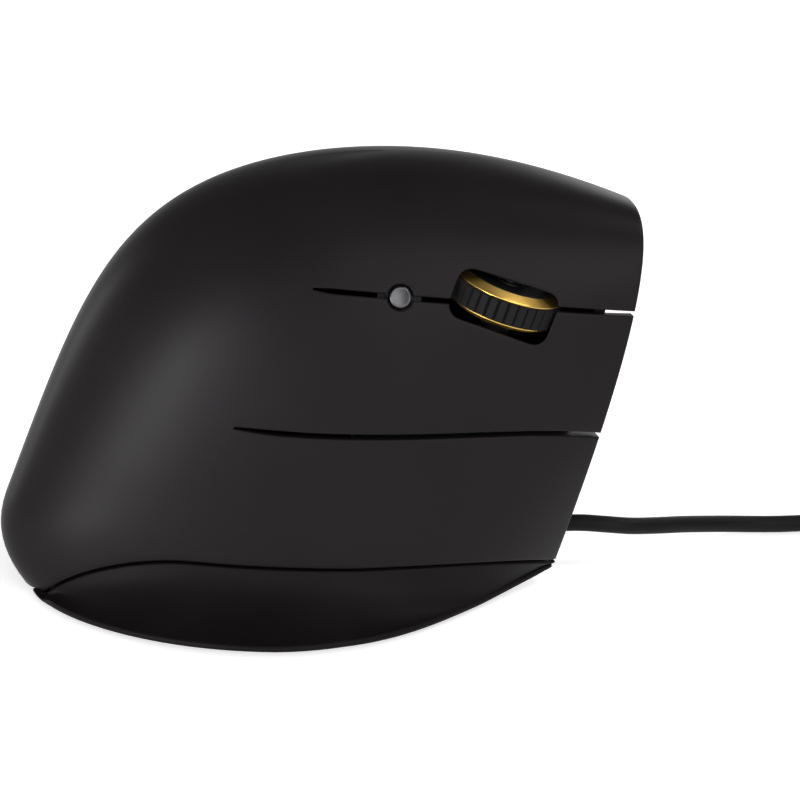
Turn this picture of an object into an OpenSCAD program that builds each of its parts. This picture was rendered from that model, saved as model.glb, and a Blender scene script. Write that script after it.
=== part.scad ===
// Vertical ergonomic mouse: a handshake grip shell on a flat base, with three plate buttons,
// a scroll wheel, a round button behind it, two thumb buttons and a corded plug.
// Frame: +X to the front, +Y to the thumb side, +Z up, origin on the desk. Millimetres.

/* [Shell] */
// Height of the ridge above the desk
ridge_height = 79.5; // [76:0.5:84]
// How far the ridge lies to the thumb side of the middle plane
ridge_shift = 8.3; // [7:0.1:11]
// How far the ridge falls towards the front edge
ridge_fall = 7.5; // [5:0.5:9]
// Reach of the palm's handles behind the middle
palm_reach = 64.6; // [61:0.1:72]
// How far the foot of the palm is tucked in below its swell
palm_tuck = 10; // [6:0.5:12]
// Reach of the front edge at the desk
foot_reach = 43.4; // [41:0.1:48]
// From the middle plane to the foot on the finger side
finger_half = 27.7; // [25:0.1:30]
// From the middle plane to the edge of the thumb shelf
thumb_half = 41.3; // [38:0.1:46]
// Gap between the shell's foot and the desk
shell_lift = 1.5; // [1.2:0.1:2]
// Wall of the shells and the button plates
wall = 2.2; // [1.8:0.1:2.6]

/* [Ledge] */
// Width of the little finger's ledge at its widest
ledge_width = 14.2; // [8:0.2:18]
// Width of the ledge at its front tip
ledge_tip = 0.3; // [0.2:0.1:1]
// Thickness of the ledge's rim
ledge_rim = 1.2; // [0.8:0.1:1.6]
// Rise of the ledge's underside at the front tip
ledge_rise = 1.8; // [0.5:0.1:2.4]

/* [Slits and gaps] */
// Width of the slits between the button plates
slit_width = 0.9; // [0.8:0.05:1.2]
// Width of the seam above the ledge
seam_width = 0.5; // [0.4:0.05:0.8]
// Width of the parting line and of the gaps round the thumb buttons
parting_gap = 0.8; // [0.7:0.05:1]
// Gap at the roots of the button plates
root_gap = 0.5; // [0.45:0.05:0.7]

/* [Wheel] */
// Outer radius of the tyre
wheel_radius = 10.8; // [10.2:0.1:11]
// How far the tyre stands out of the shell
wheel_proud = 3.3; // [2.6:0.1:3.8]
// Width of the tyre
tyre_width = 4.3; // [3.6:0.1:4.4]
// Thickness of the tyre
tyre_depth = 2; // [1.5:0.1:2.5]
// Width of each sloping rim beside the tyre
rim_width = 1.2; // [0.8:0.05:1.25]
// Number of ribs round the tyre
tyre_ribs = 36; // [24:1:44]
// Length of the slot that the wheel stands in
slot_length = 18.8; // [18.6:0.1:20]
// Width of the slot
slot_width = 9.1; // [9:0.1:10.5]
// Radius of the slot's corners
slot_corner = 2.6; // [2:0.1:3.2]
// How far the slot widens towards the inner face
slot_flare = 1.5; // [1.3:0.1:1.8]
// Turn of the slot, front end down
wheel_turn = 20; // [14:1:24]
// Lean of the wheel, upper side to the front of the slot
wheel_lean = 16; // [12:1:18]
// Radius of the wheel's axle
axle_radius = 1.2; // [1:0.1:1.6]

/* [Buttons] */
// Radius of the round button
knob_radius = 2; // [1.6:0.1:2.3]
// Gap round the round button
knob_gap = 0.4; // [0.35:0.05:0.6]
// Wall of the round button's sleeve, inside the shell
sleeve_wall = 0.45; // [0.4:0.05:0.7]
// Travel of the plungers, with the clearance that is left over
click_room = 0.85; // [0.8:0.05:1.2]
// Radius of the plungers
plunger_radius = 1; // [0.8:0.1:1.3]
// Length of the button switches
switch_length = 12.8; // [10:0.2:13.4]
// Width of the button switches
switch_width = 5.8; // [4.6:0.2:5.8]
// Height of the button switches
switch_height = 6.5; // [5:0.1:7]
// Side of the square thumb switches
thumb_switch_side = 6; // [4:0.2:6.4]
// Height of the thumb switches
thumb_switch_height = 2.4; // [2:0.1:2.6]

/* [Base and boards] */
// Thickness of the base plate
base_thickness = 2; // [1.6:0.1:2.6]
// Thickness of the glide feet
foot_thickness = 0.8; // [0.6:0.1:1]
// Radius of the round glide feet
foot_radius = 6; // [4:0.5:7]
// Thickness of the circuit boards
board_thickness = 1.6; // [1:0.1:2]
// Radius of the screws
screw_radius = 1.1; // [0.9:0.1:1.3]
// Height of the posts under the main board
board_post = 3.2; // [3:0.1:4]

/* [Cord] */
// Diameter of the cord
cord_diameter = 3.2; // [2.8:0.1:3.3]
// Number of turns in the put away coil
coil_turns = 15.25; // [11.25:1:19.25]
// Spacing of the turns and layers of the coil
coil_pitch = 3.8; // [3.75:0.05:4.2]
// Middle diameter of the coil
coil_diameter = 36; // [34:1:38]

/* [Hidden] */

$fn = 48;
finger = 0;
thumb = 1;
// Radial clearance of running fits, gap of seated edges, and slack round screws
fit = 0.05;
seat_gap = 0.1;
slack = 0.2;
// How far a cut runs past the face that it opens
past = 1;
soft = "#2b292a";
dark = "#1c1b1c";
gold = "#c8a046";
steel = "#b9bcc0";
part_black = "#1b1b1d";
plunger_red = "#b23a2e";
board_green = "#2f5f43";

// Rails of the skin: foot, lower handle, upper handle, ridge.
// Pairs of handles are for the finger side and the thumb side.
ridge_station = 13.9;
widest_x = 4.9;
station_x = [widest_x, widest_x, widest_x, ridge_station];
palm_swell = [22, 21.5];
palm_drop = [26, 2];
ridge_start = 2;
rear_x = [-palm_reach, palm_swell[0] - palm_reach, palm_swell[1] - palm_reach,
    ridge_station - ridge_start];
rear_z = [shell_lift, ridge_height - palm_drop[0], ridge_height - palm_drop[1], ridge_height];
heel_y = -11.2;
palm_y = 1.3;
nape = 1;
mid_y = [heel_y, palm_y, ridge_shift - nape, ridge_shift];
ridge_lead = 13;
ridge_reach = foot_reach + ridge_lead;
foot_sweep = [15, 5.5];
nose_sweep = [6, -6];
front_x = [for (side = [finger, thumb])
    [foot_reach, foot_reach + foot_sweep[side], ridge_reach + nose_sweep[side], ridge_reach]];
nose_shift = 4;
nose_y = ridge_shift - nose_shift;
nose_z = ridge_height - ridge_fall;
crown_slope = 0.1;
nose_slope = 0.22;
crown = [-30, 33];
nose = [-20.5, 20.5];
foot_y = [-finger_half, thumb_half];
waist_in = 2;
waist_y = [waist_in - finger_half, 5.3];
waist_z = [40, 30];
side_y = [for (side = [finger, thumb])
    [foot_y[side], waist_y[side], ridge_shift + crown[side], ridge_shift]];
side_z = [for (side = [finger, thumb])
    [shell_lift, waist_z[side], ridge_height - crown_slope*crown[side], ridge_height]];
toe_y = [-8.7, 21.3];
chin_y = [-20.7, 3.3];
chin_z = [54, 30];
front_y = [for (side = [finger, thumb])
    [toe_y[side], chin_y[side], nose_y + nose[side], nose_y]];
front_z = [for (side = [finger, thumb])
    [shell_lift, chin_z[side], nose_z - nose_slope*nose[side], nose_z]];
tuck_height = 16;

// Lines on the skin, as girth t (0 foot, 1 ridge) along s (-1 rear, 0 widest, 1 front edge)
slit_root = -0.117;
low_slit_root = -0.25;
seam_root = -0.29;
seam_girth = 0.08;
ledge_start = -0.85;
parting_girth = 0.84;
panel_s = 0.91;
thumb_front_s = 0.93;
knob_s = 0.161;
wheel_s = 0.527;

function clip(v) = max(0, min(1, v));
function mix(a, b, k) = a + (b - a)*k;
function ease(k) = let (c = clip(k)) c*c*(3 - 2*c);
function unit(v) = norm(v) < 1e-7 ? [0, 0, 1] : v/norm(v);
function bezier(t) = [pow(1 - t, 3), 3*t*pow(1 - t, 2), 3*t*t*(1 - t), t*t*t];
function steps(a, b, n) = [for (i = [0:n]) mix(a, b, i/n)];
function between(a, b, n) = [for (i = [1:n - 1]) mix(a, b, i/n)];
function reversed(list) = [for (i = [len(list) - 1:-1:0]) list[i]];
function flat(p) = [p.x, p.y];
function path_length(p, i = 0) =
    i >= len(p) - 1 ? 0 : norm(p[i + 1] - p[i]) + path_length(p, i + 1);

function rail(side, j, s) = s < 0
    ? let (k = 90*(1 + s))
      [mix(station_x[j], rear_x[j], cos(k)),
       mix(mid_y[j], side_y[side][j], sin(k)),
       mix(rear_z[j], side_z[side][j], pow(sin(k), 2))]
    : [mix(station_x[j], front_x[side][j], s),
       mix(side_y[side][j], front_y[side][j], s*s),
       mix(side_z[side][j], front_z[side][j], s*s)];
function skin(side, s, t) =
    let (p = bezier(t)*[for (j = [0:3]) rail(side, j, s)])
    let (rear = s < 0 ? cos(90*(1 + s)) : 0)
    let (low = clip(1 - (p.z - shell_lift)/tuck_height))
    p + [palm_tuck*rear*low*low, 0, 0];
function along(side, s, t) = (skin(side, s + 0.005, t) - skin(side, s - 0.005, t))/0.01;
function upward(side, s, t) = (skin(side, s, t + 0.005) - skin(side, s, t - 0.005))/0.01;
function outward(side, s, t) =
    unit(cross(along(side, s, t), upward(side, s, t)))*(side == finger ? 1 : -1);
function plan_out(side, s) =
    let (d = along(side, s, 0))
    unit([d.y, -d.x, 0])*(side == finger ? 1 : -1);
function under(side, s, t, depth) = skin(side, s, t) - depth*outward(side, s, t);
function s_step(side, s, t, length) = length/norm(along(side, s, t));
function t_step(side, s, t, length) = length/norm(upward(side, s, t));
// Girth past 1 runs over the ridge and down the thumb side
function over(s, g, depth) = g <= 1 ? under(finger, s, g, depth) : under(thumb, s, 2 - g, depth);

function top_slit(s) = 0.566 - 0.056*s - 0.036*pow(s, 3);
function low_slit(s) = 0.304 - 0.018*s - 0.064*pow(s, 3);
function seam_fall(u) = (pow(u, 1.5) + ease(u))/2;
function seam(s) = seam_girth
    *max(0, 1 - seam_fall(clip((-0.3 - s)/0.47)) - 0.75*pow(clip((s - 0.1)/0.885), 2));
function parting(s) = parting_girth*ease((s + 0.75)/0.5);
function root(t) = lookup(t, [
    [seam_girth, seam_root], [low_slit(low_slit_root), low_slit_root],
    [top_slit(slit_root), slit_root], [1, slit_root]
]);

// Slot of the wheel and hole of the round button, cut in both sides of the top slit
knob_hole = knob_radius + knob_gap;
knob_at = skin(finger, knob_s, top_slit(knob_s));
knob_out = outward(finger, knob_s, top_slit(knob_s));
wheel_at = skin(finger, wheel_s, top_slit(wheel_s));
wheel_out = outward(finger, wheel_s, top_slit(wheel_s));
slit_run = skin(finger, wheel_s + 0.1, top_slit(wheel_s + 0.1))
    - skin(finger, wheel_s - 0.1, top_slit(wheel_s - 0.1));
slot_tilt = wheel_turn - atan2(-slit_run.z, slit_run.x);
// Faces of the plates: the outer one and the inner one
outer_face = 0;
inner_face = 1;
// The slot is swept by a disc of the corner's radius round a tilted rectangle. It is larger by the
// flare at the inner face, with sharper corners.
corner = [slot_corner, slot_corner/2];
function slot_half(face) = [slot_length/2, slot_width/2] + (face*slot_flare - corner[face])*[1, 1];
function tilted(p) = [p.x*cos(slot_tilt) + p.y*sin(slot_tilt), p.y*cos(slot_tilt) - p.x*sin(slot_tilt)];
function slot_reach(face) = slot_half(face)*[cos(slot_tilt), sin(slot_tilt)] + corner[face];
function slot_discs(face) =
    let (h = slot_half(face))
    concat([for (q = steps(-h.x, h.x, 24), v = [-h.y, h.y]) tilted([q, v])],
           [for (v = steps(-h.y, h.y, 6), q = [-h.x, h.x]) tilted([q, v])]);
disc_list = [slot_discs(outer_face), slot_discs(inner_face)];
nowhere = -1000;
function disc_edge(a, r) = abs(a) < r ? sqrt(r*r - a*a) : nowhere;
function slot_edge(a, up, face) = max([
    for (d = disc_list[face]) disc_edge(a - d.x, corner[face]) + up*d.y
]);
// The slits narrow to a point at their roots
slit_point = 0.4;
slit_taper = 0.06;
function slit_half(s) = mix(slit_point, slit_width, clip((s - slit_root)/slit_taper))/2;
function from_wheel(s) = (s - wheel_s)*norm(along(finger, wheel_s, top_slit(wheel_s)));
function from_knob(s) = (s - knob_s)*norm(along(finger, knob_s, top_slit(knob_s)));
function slit_edge(s, up, face) = max(
    slit_half(s),
    slot_edge(from_wheel(s), up, face),
    disc_edge(from_knob(s), knob_hole)
);
function slit_line(s, up, face) = top_slit(s)
    + up*t_step(finger, s, top_slit(s), slit_edge(s, up, face));

// Columns of the button plates, closer where the slot and the hole are
function notch(centre, reach, n) =
    let (k = s_step(finger, centre, top_slit(centre), 1))
    concat([centre - (reach + 0.12)*k],
           [for (i = [0:n]) centre - reach*0.999*cos(180*i/n)*k],
           [centre + (reach + 0.12)*k]);
knob_columns = notch(knob_s, knob_hole, 8);
root_end = knob_columns[0] - 0.01;
function plate_columns(face) =
    let (wheel_columns = notch(wheel_s, slot_reach(face), 18))
    concat(
        steps(slit_root, root_end, 3), knob_columns,
        between(knob_columns[10], wheel_columns[0], 2), wheel_columns,
        between(wheel_columns[20], 1, 5), [1]
    );
function low_columns(face) = steps(slit_root, 1, 14);
function rooted(s, t) = s + (root(t) - slit_root + s_step(finger, root(t), t, root_gap))
    *clip(1 - (s - slit_root)/(root_end - slit_root));

// A closed shell between an outer and an inner grid of points, columns first.
// The outside lies where columns cross rows.
module shell(outer, inner) {
    n = len(outer);
    m = len(outer[0]);
    function at(k, i, j) = (k*n + i)*m + j;
    function quad(a, b, c, d) = [[a, b, c], [a, c, d]];
    skins = [for (i = [0:n - 2], j = [0:m - 2]) each concat(
        quad(at(0, i, j), at(0, i, j + 1), at(0, i + 1, j + 1), at(0, i + 1, j)),
        quad(at(1, i, j), at(1, i + 1, j), at(1, i + 1, j + 1), at(1, i, j + 1)))];
    ends = [for (j = [0:m - 2]) each concat(
        quad(at(0, 0, j), at(1, 0, j), at(1, 0, j + 1), at(0, 0, j + 1)),
        quad(at(0, n - 1, j), at(0, n - 1, j + 1), at(1, n - 1, j + 1), at(1, n - 1, j)))];
    sides = [for (i = [0:n - 2]) each concat(
        quad(at(0, i, 0), at(0, i + 1, 0), at(1, i + 1, 0), at(1, i, 0)),
        quad(at(0, i, m - 1), at(1, i, m - 1), at(1, i + 1, m - 1), at(0, i + 1, m - 1)))];
    polyhedron(points = [for (g = [outer, inner], column = g) each column],
        faces = concat(skins, ends, sides));
}
// A closed loft through rings of points
module loft(sections) {
    n = len(sections);
    m = len(sections[0]);
    function at(i, j) = i*m + j%m;
    walls = [for (i = [0:n - 2], j = [0:m - 1]) each [
        [at(i, j), at(i, j + 1), at(i + 1, j + 1)], [at(i, j), at(i + 1, j + 1), at(i + 1, j)]]];
    first = [for (j = [1:m - 2]) [at(0, 0), at(0, m - j), at(0, m - j - 1)]];
    last = [for (j = [1:m - 2]) [at(n - 1, 0), at(n - 1, j), at(n - 1, j + 1)]];
    polyhedron(points = [for (c = sections) each c], faces = concat(walls, first, last));
}
// Round bars along the Y axis and along the X axis
module along_y(x, z, from, to, r) {
    translate([x, from, z]) rotate([-90, 0, 0]) cylinder(r = r, h = to - from);
}
module along_x(y, z, from, to, r) {
    translate([from, y, z]) rotate([0, 90, 0]) cylinder(r = r, h = to - from);
}

// A button plate from girth low(s, face) to girth high(s, face). A plate that crosses the ridge has
// its row number "crest" on it.
function plate_girth(low, high, r, rows, crest) = crest == 0 ? mix(low, high, r/rows)
    : r <= crest ? mix(low, 1, r/crest) : mix(1, high, (r - crest)/(rows - crest));
function plate_grid(columns, rows, low, high, crest, face) = [
    for (s = columns(face)) [
        for (r = [0:rows])
            let (g = plate_girth(low(s, face), high(s, face), r, rows, crest))
            over(rooted(s, g <= 1 ? g : 2 - g), g, face*wall)
    ]
];
module plate(columns, rows, low, high, crest = 0) {
    shell(plate_grid(columns, rows, low, high, crest, outer_face),
        plate_grid(columns, rows, low, high, crest, inner_face));
}
function plate_top(s) = 2 - parting_girth - t_step(thumb, s, parting_girth, parting_gap/2);
function low_edge(s, up) = low_slit(s) + up*t_step(finger, s, low_slit(s), slit_half(s));
function seam_edge(s, up) = seam(s) + up*t_step(finger, s, seam(s), seam_width/2);

module top_button() {
    color(soft) plate(function (face) plate_columns(face), 12,
        function (s, face) slit_line(s, 1, face), function (s, face) plate_top(s), 9);
}
module middle_button() {
    color(soft) plate(function (face) plate_columns(face), 6,
        function (s, face) low_edge(s, 1), function (s, face) slit_line(s, -1, face));
}
module bottom_button() {
    color(soft) plate(function (face) low_columns(face), 6,
        function (s, face) seam_edge(s, 1), function (s, face) low_edge(s, -1));
}

// Palm shell: rows run from the finger seam over the ridge to the parting line on the thumb side,
// and both halves share the rear meridian at s = -1
palm_columns = 26;
palm_rows = 14;
function palm_s(i, t) = mix(-1, root(t), sin(90*i/palm_columns));
function palm_low(side, s) = side == finger
    ? max(0, seam_edge(s, s > ledge_start ? 1 : 0))
    : parting(s) + (s > -0.7 ? t_step(thumb, s, parting(s), parting_gap/2) : 0);
function palm_point(i, j, depth) =
    let (side = j <= palm_rows ? finger : thumb)
    let (share = (j <= palm_rows ? j : 2*palm_rows - j)/palm_rows)
    let (s = palm_s(i, mix(seam_girth, 1, share)))
    let (end = side == finger ? s : palm_s(i, 1))
    under(side, end, mix(palm_low(side, end), 1, share), depth);
module palm_shell() {
    m = 2*palm_rows;
    layer = palm_rows + 1 + palm_columns*(m + 1);
    function at(k, i, j) = k*layer
        + (i == 0 ? min(j, m - j) : palm_rows + 1 + (i - 1)*(m + 1) + j);
    function points(depth) = concat(
        [for (j = [0:palm_rows]) palm_point(0, j, depth)],
        [for (i = [1:palm_columns], j = [0:m]) palm_point(i, j, depth)]);
    function quad(a, b, c, d) = [[a, b, c], [a, c, d]];
    skins = [for (i = [0:palm_columns - 1], j = [0:m - 1]) each concat(
        quad(at(0, i, j), at(0, i, j + 1), at(0, i + 1, j + 1), at(0, i + 1, j)),
        quad(at(1, i, j), at(1, i + 1, j), at(1, i + 1, j + 1), at(1, i, j + 1)))];
    front = [for (j = [0:m - 1]) each
        quad(at(0, palm_columns, j), at(0, palm_columns, j + 1),
             at(1, palm_columns, j + 1), at(1, palm_columns, j))];
    edges = [for (i = [0:palm_columns - 1]) each concat(
        quad(at(0, i, 0), at(0, i + 1, 0), at(1, i + 1, 0), at(1, i, 0)),
        quad(at(0, i, m), at(1, i, m), at(1, i + 1, m), at(0, i + 1, m)))];
    color(soft)
        polyhedron(points = concat(points(0), points(wall)), faces = concat(skins, front, edges));
}

// Thumb shell, with a window in its upper edge for the two thumb buttons
thumb_rear_s = -0.69;
thumb_rows = 10;
window_from = 0.02;
window_to = 0.86;
window_girth = 0.66;
window_margin = 0.01;
window_edge = 0.001;
thumb_split = 0.44;
function thumb_high(s) = s > window_from && s < window_to
    ? window_girth
    : parting(s) - t_step(thumb, s, parting(s), parting_gap/2);
thumb_columns = concat(
    steps(thumb_rear_s, window_from - window_edge, 12),
    steps(window_from + window_edge, window_to - window_edge, 8),
    steps(window_to + window_edge, thumb_front_s, 1)
);
// Near the shelf's foot the wall is measured level, so that its inner edge stays off the desk
level_girth = 0.12;
function thumb_under(s, t, depth) = skin(thumb, s, t)
    - depth*unit(mix(plan_out(thumb, s), outward(thumb, s, t), ease(t/level_girth)));
function thumb_grid(columns, rows, low, high, depth) = [
    for (s = columns) [for (r = [0:rows]) thumb_under(s, mix(high(s), low(s), r/rows), depth)]
];
module thumb_shell() {
    foot = function (s) 0;
    high = function (s) thumb_high(s);
    color(soft) shell(thumb_grid(thumb_columns, thumb_rows, foot, high, 0),
        thumb_grid(thumb_columns, thumb_rows, foot, high, wall));
}
module thumb_button(from, to) {
    gap = function (t) t_step(thumb, (from + to)/2, t, parting_gap);
    low = function (s) window_girth + gap(window_girth);
    high = function (s) parting_girth - gap(parting_girth)/2;
    columns = steps(from + s_step(thumb, from, window_girth, parting_gap)/2,
        to - s_step(thumb, to, window_girth, parting_gap)/2, 6);
    color(dark) shell(thumb_grid(columns, 5, low, high, 0), thumb_grid(columns, 5, low, high, wall));
}
module thumb_button_rear() {
    thumb_button(window_from + window_margin, thumb_split);
}
module thumb_button_front() {
    thumb_button(thumb_split, window_to - window_margin);
}

// Ledge under the little finger: a flared section swept along the foot
ledge_rear_s = -0.86;
ledge_peak_s = -0.16;
ledge_peak_x = -9.1;
ledge_fade_x = 38.9;
ledge_rise_s = 0.6;
ledge_stations = steps(ledge_start, 1, 34);
ledge_floor = 1;
function ledge_reach(s) = s < ledge_peak_s
    ? ledge_width*sin(90*pow(clip((s - ledge_rear_s)/(ledge_peak_s - ledge_rear_s)), 1.25))
    : mix(ledge_tip, ledge_width,
          pow(cos(90*clip((skin(finger, s, 0).x - ledge_peak_x)/(ledge_fade_x - ledge_peak_x))), 2));
function ledge_low(s) = ledge_floor
    + ledge_rise*pow(clip((s - ledge_rise_s)/(1 - ledge_rise_s)), 1.5);
function ledge_section(s) =
    let (t = max(0, seam_edge(s, -1)))
    let (seat = skin(finger, s, t))
    let (out = plan_out(finger, s))
    let (foot = skin(finger, s, 0))
    let (low = ledge_low(s))
    let (rim = low + min(ledge_rim, 0.7*(seat.z - low)))
    let (edge = [foot.x, foot.y, rim] + ledge_reach(s)*out)
    let (waist = [foot.x, foot.y, mix(rim, seat.z, 0.15)] + 0.12*ledge_reach(s)*out)
    let (inner = under(finger, s, 0, wall))
    concat(
        [for (k = steps(0, 1, 7)) pow(1 - k, 2)*seat + 2*k*(1 - k)*waist + k*k*edge],
        [[edge.x, edge.y, low], [inner.x, inner.y, low], under(finger, s, t, wall)]
    );
module finger_ledge() {
    color(dark) loft([for (s = ledge_stations) reversed(ledge_section(s))]);
}

// Front panel behind the overhanging edges of the plates, ruled from finger side to thumb side
panel_thickness = 2;
panel_clearance = 1.3;
panel_top = 0.9;
panel_columns = steps(0, 1, 5);
panel_rows = steps(0, panel_top, 10);
function panel(k, t) = mix(
    under(finger, panel_s, t, wall + panel_clearance),
    under(thumb, panel_s, t, wall + mix(seat_gap, panel_clearance, ease((t - 0.6)/0.2))), k);
function panel_back(k, t) = panel(k, t) - panel_thickness
    *unit(cross(panel(k + 0.01, t) - panel(k - 0.01, t), panel(k, t + 0.01) - panel(k, t - 0.01)));
cord_y = 0;
cord_z = 8;
gland_neck = 2.9;
module front_panel() {
    color(dark) difference() {
        shell([for (k = panel_columns) [for (t = panel_rows) panel(k, t)]],
            [for (k = panel_columns) [for (t = panel_rows) panel_back(k, t)]]);
        along_x(cord_y, cord_z, widest_x, 2*foot_reach, gland_neck + fit);
    }
}

// Base plate, its feet and its screws. Its edge is seated just inside the shells.
base_low = foot_thickness;
base_top = base_low + base_thickness;
base_gap = 0.3;
base_steps = 28;
function thumb_inner(s) =
    let (low = thumb_under(s, 0, wall))
    let (high = thumb_under(s, thumb_high(s)/thumb_rows, wall))
    let (top = mix(low, high, max(0, (base_top - low.z)/(high.z - low.z))))
    (top - low)*plan_out(thumb, s) > 0 ? low : top;
function base_edge(side, s) = flat(
    (side == finger || s < thumb_rear_s ? under(side, s, 0, wall) : thumb_inner(s))
    - base_gap*plan_out(side, s));
function base_corner(k) = flat(panel_back(k, 0)) - [seat_gap, 0];
function corner_s(k) = (base_corner(k).x - station_x[0])/(foot_reach - station_x[0]) - 0.02;
base_outline = concat(
    [base_corner(0)],
    [for (s = steps(corner_s(0), -1, base_steps)) base_edge(finger, s)],
    [for (s = between(-1, corner_s(1), base_steps)) base_edge(thumb, s)],
    [base_corner(1)]
);
screw_places = [[9, -5], [27, -5], [9, 14.5], [27, 14.5]];
screw_head = 2*screw_radius;
head_height = 1.2;
board_corners = [[-33, -10], [-33, 12], [-8, -10], [-8, 12]];
post_radius = 2.4;
sensor_at = [-16, 1];
window_length = 9;
window_width = 7;
module base_plate() {
    color(dark) difference() {
        union() {
            translate([0, 0, base_low]) linear_extrude(base_thickness) polygon(base_outline);
            for (p = board_corners) translate([p.x, p.y, base_top])
                cylinder(r = post_radius, h = board_post);
        }
        for (p = screw_places) translate([p.x, p.y, base_low - past]) {
            cylinder(r = screw_head + slack, h = past + head_height);
            cylinder(r = screw_radius + slack, h = past + base_thickness + past);
        }
        for (p = board_corners) translate([p.x, p.y, base_top])
            cylinder(r = screw_radius + fit, h = board_post + past);
        translate([sensor_at.x, sensor_at.y, base_low + base_thickness/2])
            cube([window_length, window_width, 2*base_thickness], center = true);
    }
}
foot_places = [[-40, -4], [-20, 22], [24, -12], [22, 24]];
module glide_feet() {
    color("#d8d8d4") for (p = foot_places) translate([p.x, p.y, 0])
        cylinder(r = foot_radius, h = foot_thickness);
}
// A screw with its head above z = 0 and its shank below
module screw(length) {
    cylinder(r = screw_head, h = head_height);
    translate([0, 0, -length]) cylinder(r = screw_radius, h = length);
}
base_screw_length = 6;
module base_screws() {
    color(steel) for (p = screw_places) translate([p.x, p.y, base_low + head_height])
        rotate([180, 0, 0]) screw(base_screw_length);
}

// A frame on the shell's face: local Y runs inwards, local X along the face turned front end down,
// and the lean tips local Z towards the outside
module at_face(place, out, turn, lean) {
    translate(place) rotate([0, 0, atan2(out.x, -out.y)]) rotate([-asin(out.z), 0, 0])
        rotate([0, turn, 0]) rotate([lean, 0, 0]) children();
}
function about_x(v, k) = [v.x, v.y*cos(k) - v.z*sin(k), v.y*sin(k) + v.z*cos(k)];
function about_y(v, k) = [v.x*cos(k) + v.z*sin(k), v.y, v.z*cos(k) - v.x*sin(k)];
function about_z(v, k) = [v.x*cos(k) - v.y*sin(k), v.x*sin(k) + v.y*cos(k), v.z];
function face_turn(v, out, turn, lean) = about_z(
    about_x(about_y(about_x(v, lean), turn), -asin(out.z)), atan2(out.x, -out.y));

// Scroll wheel, in its face frame: axle along local Z, centre at wheel_depth
wheel_depth = wheel_radius - wheel_proud;
wheel_half = tyre_width/2 + rim_width;
rim_step = 0.5;
rim_edge = 0.1;
rim_run = 1.8;
rib_depth = 0.4;
rib_corners = [[0.06, rib_depth], [0.14, 0], [0.86, 0], [0.94, rib_depth]];
arm_gap = 0.35;
arm_thickness = 1.8;
arm_half = axle_radius + 1.5;
yoke_half = wheel_half + arm_gap + arm_thickness;
axle_end = 0.6;
bridge_gap = 0.7;
bridge_depth = wheel_depth + wheel_radius + bridge_gap;
bridge_thickness = 2;
bridge_half = 6.2;
bridge_back = bridge_depth + bridge_thickness;
pin_radius = 1.2;
pin_offset = 4.6;
pin_length = 3.6;
guide_gap = 1.4;
guide_face = bridge_back + guide_gap;
guide_depth = 5;
guide_half = 5;
press_side = 4.4;
press_pocket = 1.6;
encoder_radius = 3;
encoder_height = 2.5;
// The wheel stands a little to the front and below the middle of its slot
wheel_offset = [0.4, 0, -0.4];
module in_wheel() {
    at_face(wheel_at, wheel_out, wheel_turn, wheel_lean) translate(wheel_offset) children();
}
function in_wheel(v) = face_turn(v, wheel_out, wheel_turn, wheel_lean);
module on_axle() {
    in_wheel() translate([0, wheel_depth, 0]) children();
}
module wheel_tyre() {
    step = 360/tyre_ribs;
    outline = [for (i = [0:tyre_ribs - 1], c = rib_corners)
        (wheel_radius - c[1])*[cos((i + c[0])*step), sin((i + c[0])*step)]];
    color("#161616") on_axle() linear_extrude(tyre_width, center = true) difference() {
        polygon(outline);
        circle(r = wheel_radius - tyre_depth, $fn = 96);
    }
}
module wheel_hub() {
    seat = wheel_radius - tyre_depth;
    rim = wheel_radius - rim_step;
    side = tyre_width/2;
    color(gold) on_axle() rotate_extrude($fn = 96) polygon([
        [axle_radius, -wheel_half], [rim - rim_run, -wheel_half], [rim, -side - rim_edge], [rim, -side],
        [seat, -side], [seat, side], [rim, side], [rim, side + rim_edge],
        [rim - rim_run, wheel_half], [axle_radius, wheel_half]]);
}
module wheel_axle() {
    color(steel) on_axle() translate([0, 0, -yoke_half - encoder_height - axle_end])
        cylinder(r = axle_radius, h = 2*yoke_half + encoder_height + 2*axle_end);
}
module wheel_yoke() {
    color("#3a3a3c") in_wheel() difference() {
        union() {
            for (low = [-yoke_half, yoke_half - arm_thickness])
                translate([-arm_half, wheel_depth - arm_half, low])
                    cube([2*arm_half, bridge_back - wheel_depth + arm_half, arm_thickness]);
            translate([-bridge_half, bridge_depth, -yoke_half])
                cube([2*bridge_half, bridge_thickness, 2*yoke_half]);
            for (x = [-pin_offset, pin_offset])
                along_y(x, 0, bridge_back, bridge_back + pin_length, pin_radius);
        }
        translate([0, wheel_depth, -2*yoke_half])
            cylinder(r = axle_radius + fit, h = 4*yoke_half);
    }
}
module wheel_encoder() {
    color("#3c5f8f") on_axle() translate([0, 0, -yoke_half - encoder_height]) difference() {
        cylinder(r = encoder_radius, h = encoder_height);
        translate([0, 0, -past]) cylinder(r = axle_radius + fit, h = encoder_height + 2*past);
    }
}
module wheel_switch() {
    from = bridge_back + click_room;
    color(part_black) in_wheel() translate([-press_side/2, from, -press_side/2])
        cube([press_side, guide_face + press_pocket - from, press_side]);
}

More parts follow.
